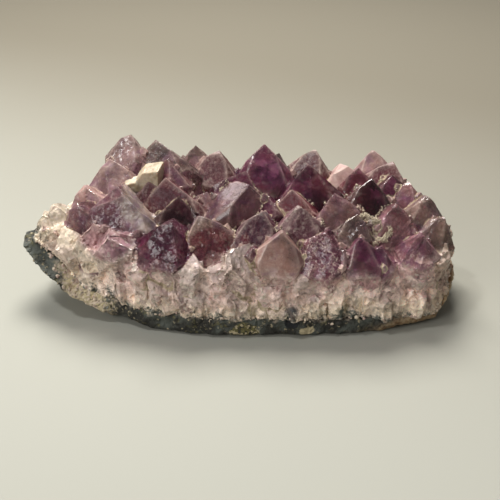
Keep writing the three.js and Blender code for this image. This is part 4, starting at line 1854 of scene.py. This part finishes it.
@dataclass
class Rind:
    """The rough wall that the quartz grew on."""

    node: bpy.types.Object
    stone: Stone
    finish: Rock
    grain: float = 0.9
    relief: float = 0.55
    swell: float = 1.1
    pits: float = 0.5
    proud: float = 0.15
    broken_proud: float = 0.35
    level: float = 0.8
    left_from: tuple[float, float] = (30, 38)
    left_to: tuple[float, float] = (-68, -60)
    top_from: tuple[float, float] = (-3.5, -1)
    broken: Fracture = Fracture(3.2, 5, 0.5, 1.1)

    def build(self) -> bpy.types.Object:
        """Copy the solid, give it an even mesh and roughen it inside its box.

        Returns:
            The finished piece.
        """
        low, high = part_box("rind")
        bm = bmesh.new()
        bm.from_mesh(self.node.data)
        bmesh.ops.transform(bm, matrix=self.node.matrix_world, verts=bm.verts)
        bmesh.ops.remove_doubles(bm, verts=bm.verts, dist=1e-6)
        shape = as_object("rind_rock", bm)
        even = shape.modifiers.new("even", "REMESH")
        even.mode = "VOXEL"
        even.voxel_size = self.grain * MM
        applied(shape)
        bm = bmesh.new()
        bm.from_mesh(shape.data)
        for vert in bm.verts:
            place = vert.co / MM
            height = self.relief * (noise.noise(place * 0.35) + 0.6 * noise.noise(place * 0.9))
            height += self.swell * noise.noise(place * 0.12)
            height += self.proud - self.pits * noise.voronoi(place * 0.4)[0][0]
            own = place - Vector(self.stone.shift)
            left = smoothstep(-own.x, *self.left_from) * smoothstep(own.x, *self.left_to)
            sugary = max(smoothstep(-self.stone.sunk(*own), *self.top_from), left)
            height += sugary * (self.broken.at(own)[0] + self.broken_proud)
            if vert.normal.z < -0.7 and vert.co.z < self.level * MM:
                height = min(height, -0.2 * abs(height))
            vert.co = Vector(np.clip(vert.co + vert.normal * height * MM, low, high))
        bm.to_mesh(shape.data)
        bm.free()
        store(shape.data, "sunk", self.stone.sunk(*self.stone.own(vertex_rows(shape.data)).T), "POINT")
        shape.data.materials.clear()
        shape.data.materials.append(self.finish.material())
        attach(shape, "root")
        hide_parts("rind")
        return shape


@dataclass
class Calcite:
    """The blocky crystal between the points at the left, with its low tail."""

    stone: Stone
    finish: Wax
    rhombs: tuple[tuple[Vec, Vec, Vec], ...] = (
        ((-31.5, 6.5, 39.5), (10, 7, 8), (6, -16, -14)),
        ((-39, 6, 37), (11, 5, 3.6), (6, -12, 4)),
    )
    cut: Vec = (-0.6, -0.1, 0.8)
    cut_out: float = 0.42
    shear: tuple[float, float] = (0.25, 0.18)
    bevel: float = 0.35
    longest: float = 0.6
    relief: float = 0.16

    def build(self) -> bpy.types.Object:
        """Cleave the two rhombs, break their edges and dress them.

        Returns:
            The finished piece.
        """
        low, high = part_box("calcite_crystal")
        bm = bmesh.new()
        shear = Matrix.Identity(4)
        shear[0][2], shear[1][2] = self.shear
        for centre, size, turn in self.rhombs:
            block = bmesh.new()
            bmesh.ops.create_cube(block, size=1, matrix=shear @ Matrix.Diagonal((*size, 1)))
            slice_off(block, Vector(self.cut).normalized(), size[2] * self.cut_out)
            bmesh.ops.bevel(block, geom=block.edges[:], offset=self.bevel, offset_type="OFFSET", segments=2,
                            profile=0.5, affect="EDGES", clamp_overlap=True, material=-1)
            radians = [math.radians(a) for a in turn]
            place = Matrix.Translation(centre) @ Euler(radians, "ZYX").to_matrix().to_4x4()
            bmesh.ops.transform(block, matrix=place, verts=block.verts)
            pour(block, bm)
            block.free()
        refined(bm, self.longest)
        for vert in bm.verts:
            vert.co += vert.normal * self.relief * noise.noise(vert.co * 0.9)
        self.stone.settle(bm, low, high)
        bmesh.ops.recalc_face_normals(bm, faces=bm.faces)
        shape = as_object("calcite_block", bm)
        shape.data.materials.append(self.finish.material())
        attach(shape, "root")
        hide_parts("calcite_crystal")
        return shape


@dataclass(frozen=True)
class Lamp:
    """One soft square lamp: its place, the length of its side in metres, its watts and its colour."""

    name: str
    place: Vec
    size: float
    power: float
    colour: Vec = (1, 0.98, 0.95)

    def hang(self, target: Vec) -> None:
        """Hang the lamp so that it shines on a place.

        Args:
            target: The place.
        """
        data = bpy.data.lights.new(self.name, "AREA")
        data.size = self.size
        data.energy = self.power
        data.color = self.colour
        lamp = bpy.data.objects.new(self.name, data)
        lamp.location = self.place
        aim = Vector(target) - Vector(self.place)
        lamp.rotation_euler = aim.to_track_quat("-Z", "Y").to_euler()
        bpy.context.scene.collection.objects.link(lamp)


@dataclass
class Studio:
    """A pale curved sheet with painted shade that darkens it towards the back and the right, soft lamps and
    the camera at the photograph's angle.
    """

    target: Vec = (0.00334, -0.00911, 0.0188)
    distance: float = 0.322
    elevation: float = 28
    field_of_view: float = 30
    sensor: float = 36
    clip: float = 0.01
    paper: Vec = linear(160, 160, 151)
    # Colour of the painted shade where the lamps' light falls off towards the back
    painted_shade_paper: Vec = linear(112, 107, 94)
    paper_rough: float = 0.9
    half_wide: float = 2
    near: float = -1.5
    bend_at: float = 1.3
    bend_radius: float = 0.5
    bend_angle: float = 80
    bend_steps: int = 16
    upper: Vec = (0, 0.15, 1)
    sky: Vec = (1, 0.985, 0.96)
    sky_strength: float = 0.2
    lamps: tuple[Lamp, ...] = (
        Lamp("above", (-0.08, 0.36, 0.62), 0.36, 9.5, (1, 0.97, 0.92)),
        Lamp("front left", (-0.55, -0.58, 0.5), 0.4, 3.1),
        Lamp("window", (-0.77, 1.25, 0.38), 0.26, 0.9),
        Lamp("glint", (-0.22, -0.1, 0.55), 0.05, 1, (1, 1, 1)),
    )

    def floor(self) -> bpy.types.Object:
        """Make the paper that the cluster stands on.

        Returns:
            The paper.
        """
        bm = bmesh.new()
        line = [bm.verts.new((-self.half_wide, away, 0)) for away in (self.near, self.bend_at)]
        bm.edges.new(line)
        centre = (-self.half_wide, self.bend_at, self.bend_radius)
        bmesh.ops.spin(bm, geom=[line[1]], cent=centre, axis=(1, 0, 0), angle=math.radians(self.bend_angle),
                       steps=self.bend_steps, use_duplicate=False)
        last = max(bm.verts, key=lambda vert: vert.co.z)
        top = bm.verts.new(last.co + Vector(self.upper))
        bm.edges.new((last, top))
        moved = bmesh.ops.extrude_edge_only(bm, edges=bm.edges[:])["geom"]
        moved = [item for item in moved if isinstance(item, bmesh.types.BMVert)]
        bmesh.ops.translate(bm, vec=(2 * self.half_wide, 0, 0), verts=moved)
        bmesh.ops.recalc_face_normals(bm, faces=bm.faces)
        sheet = as_object("paper", bm)
        for face in sheet.data.polygons:
            face.use_smooth = True
        nodes = Sheet("paper")
        # Painted shade: the paper darkens towards the back and the right, and stays lighter at the front left
        far = (nodes.axis("Y") + nodes.axis("X") * 0.5 + nodes.noise(90, 2, 0.4) * 20).between(-110, 300)
        colour = nodes.mix(far, self.paper, self.painted_shade_paper)
        surface = nodes.surface({"Base Color": colour, "Roughness": self.paper_rough})
        sheet.data.materials.append(nodes.finish(surface))
        return sheet

    def camera(self) -> None:
        """Put the camera where the photograph was taken from."""
        data = bpy.data.cameras.new("camera")
        data.sensor_width = self.sensor
        data.lens = self.sensor / 2 / math.tan(math.radians(self.field_of_view / 2))
        data.clip_start = self.clip
        made = bpy.data.objects.new("camera", data)
        rise = math.radians(self.elevation)
        back = Vector((0, -math.cos(rise), math.sin(rise)))
        made.location = Vector(self.target) + back * self.distance
        made.rotation_euler = (-back).to_track_quat("-Z", "Y").to_euler()
        bpy.context.scene.collection.objects.link(made)
        bpy.context.scene.camera = made

    def build(self) -> None:
        """Set up the paper, the lamps, the sky and the camera."""
        self.floor()
        for lamp in self.lamps:
            lamp.hang(self.target)
        world = bpy.data.worlds.new("sky")
        world.use_nodes = True
        background = world.node_tree.nodes["Background"]
        background.inputs["Color"].default_value = (*self.sky, 1)
        background.inputs["Strength"].default_value = self.sky_strength
        bpy.context.scene.world = world
        bpy.context.scene.view_settings.view_transform = "Standard"
        self.camera()


def main() -> None:
    """Load the frame, build every piece and report it."""
    logging.basicConfig(level=logging.INFO, format="%(message)s")
    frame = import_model()
    Studio().build()
    stone = Stone()
    druse = Druse(stone, Quartz()).build()
    rind = Rind(frame["nodes"]["rind"], stone, Rock()).build()
    pieces = [
        druse,
        Crust(Grit()).build(druse, stone),
        rind,
        Foot(stone, Sugar()).build([druse, rind]),
        Calcite(stone, Wax()).build(),
    ]
    for piece in pieces:
        LOG.info("%s: %d faces", piece.name, len(piece.data.polygons))


if __name__ == "__main__":
    main()
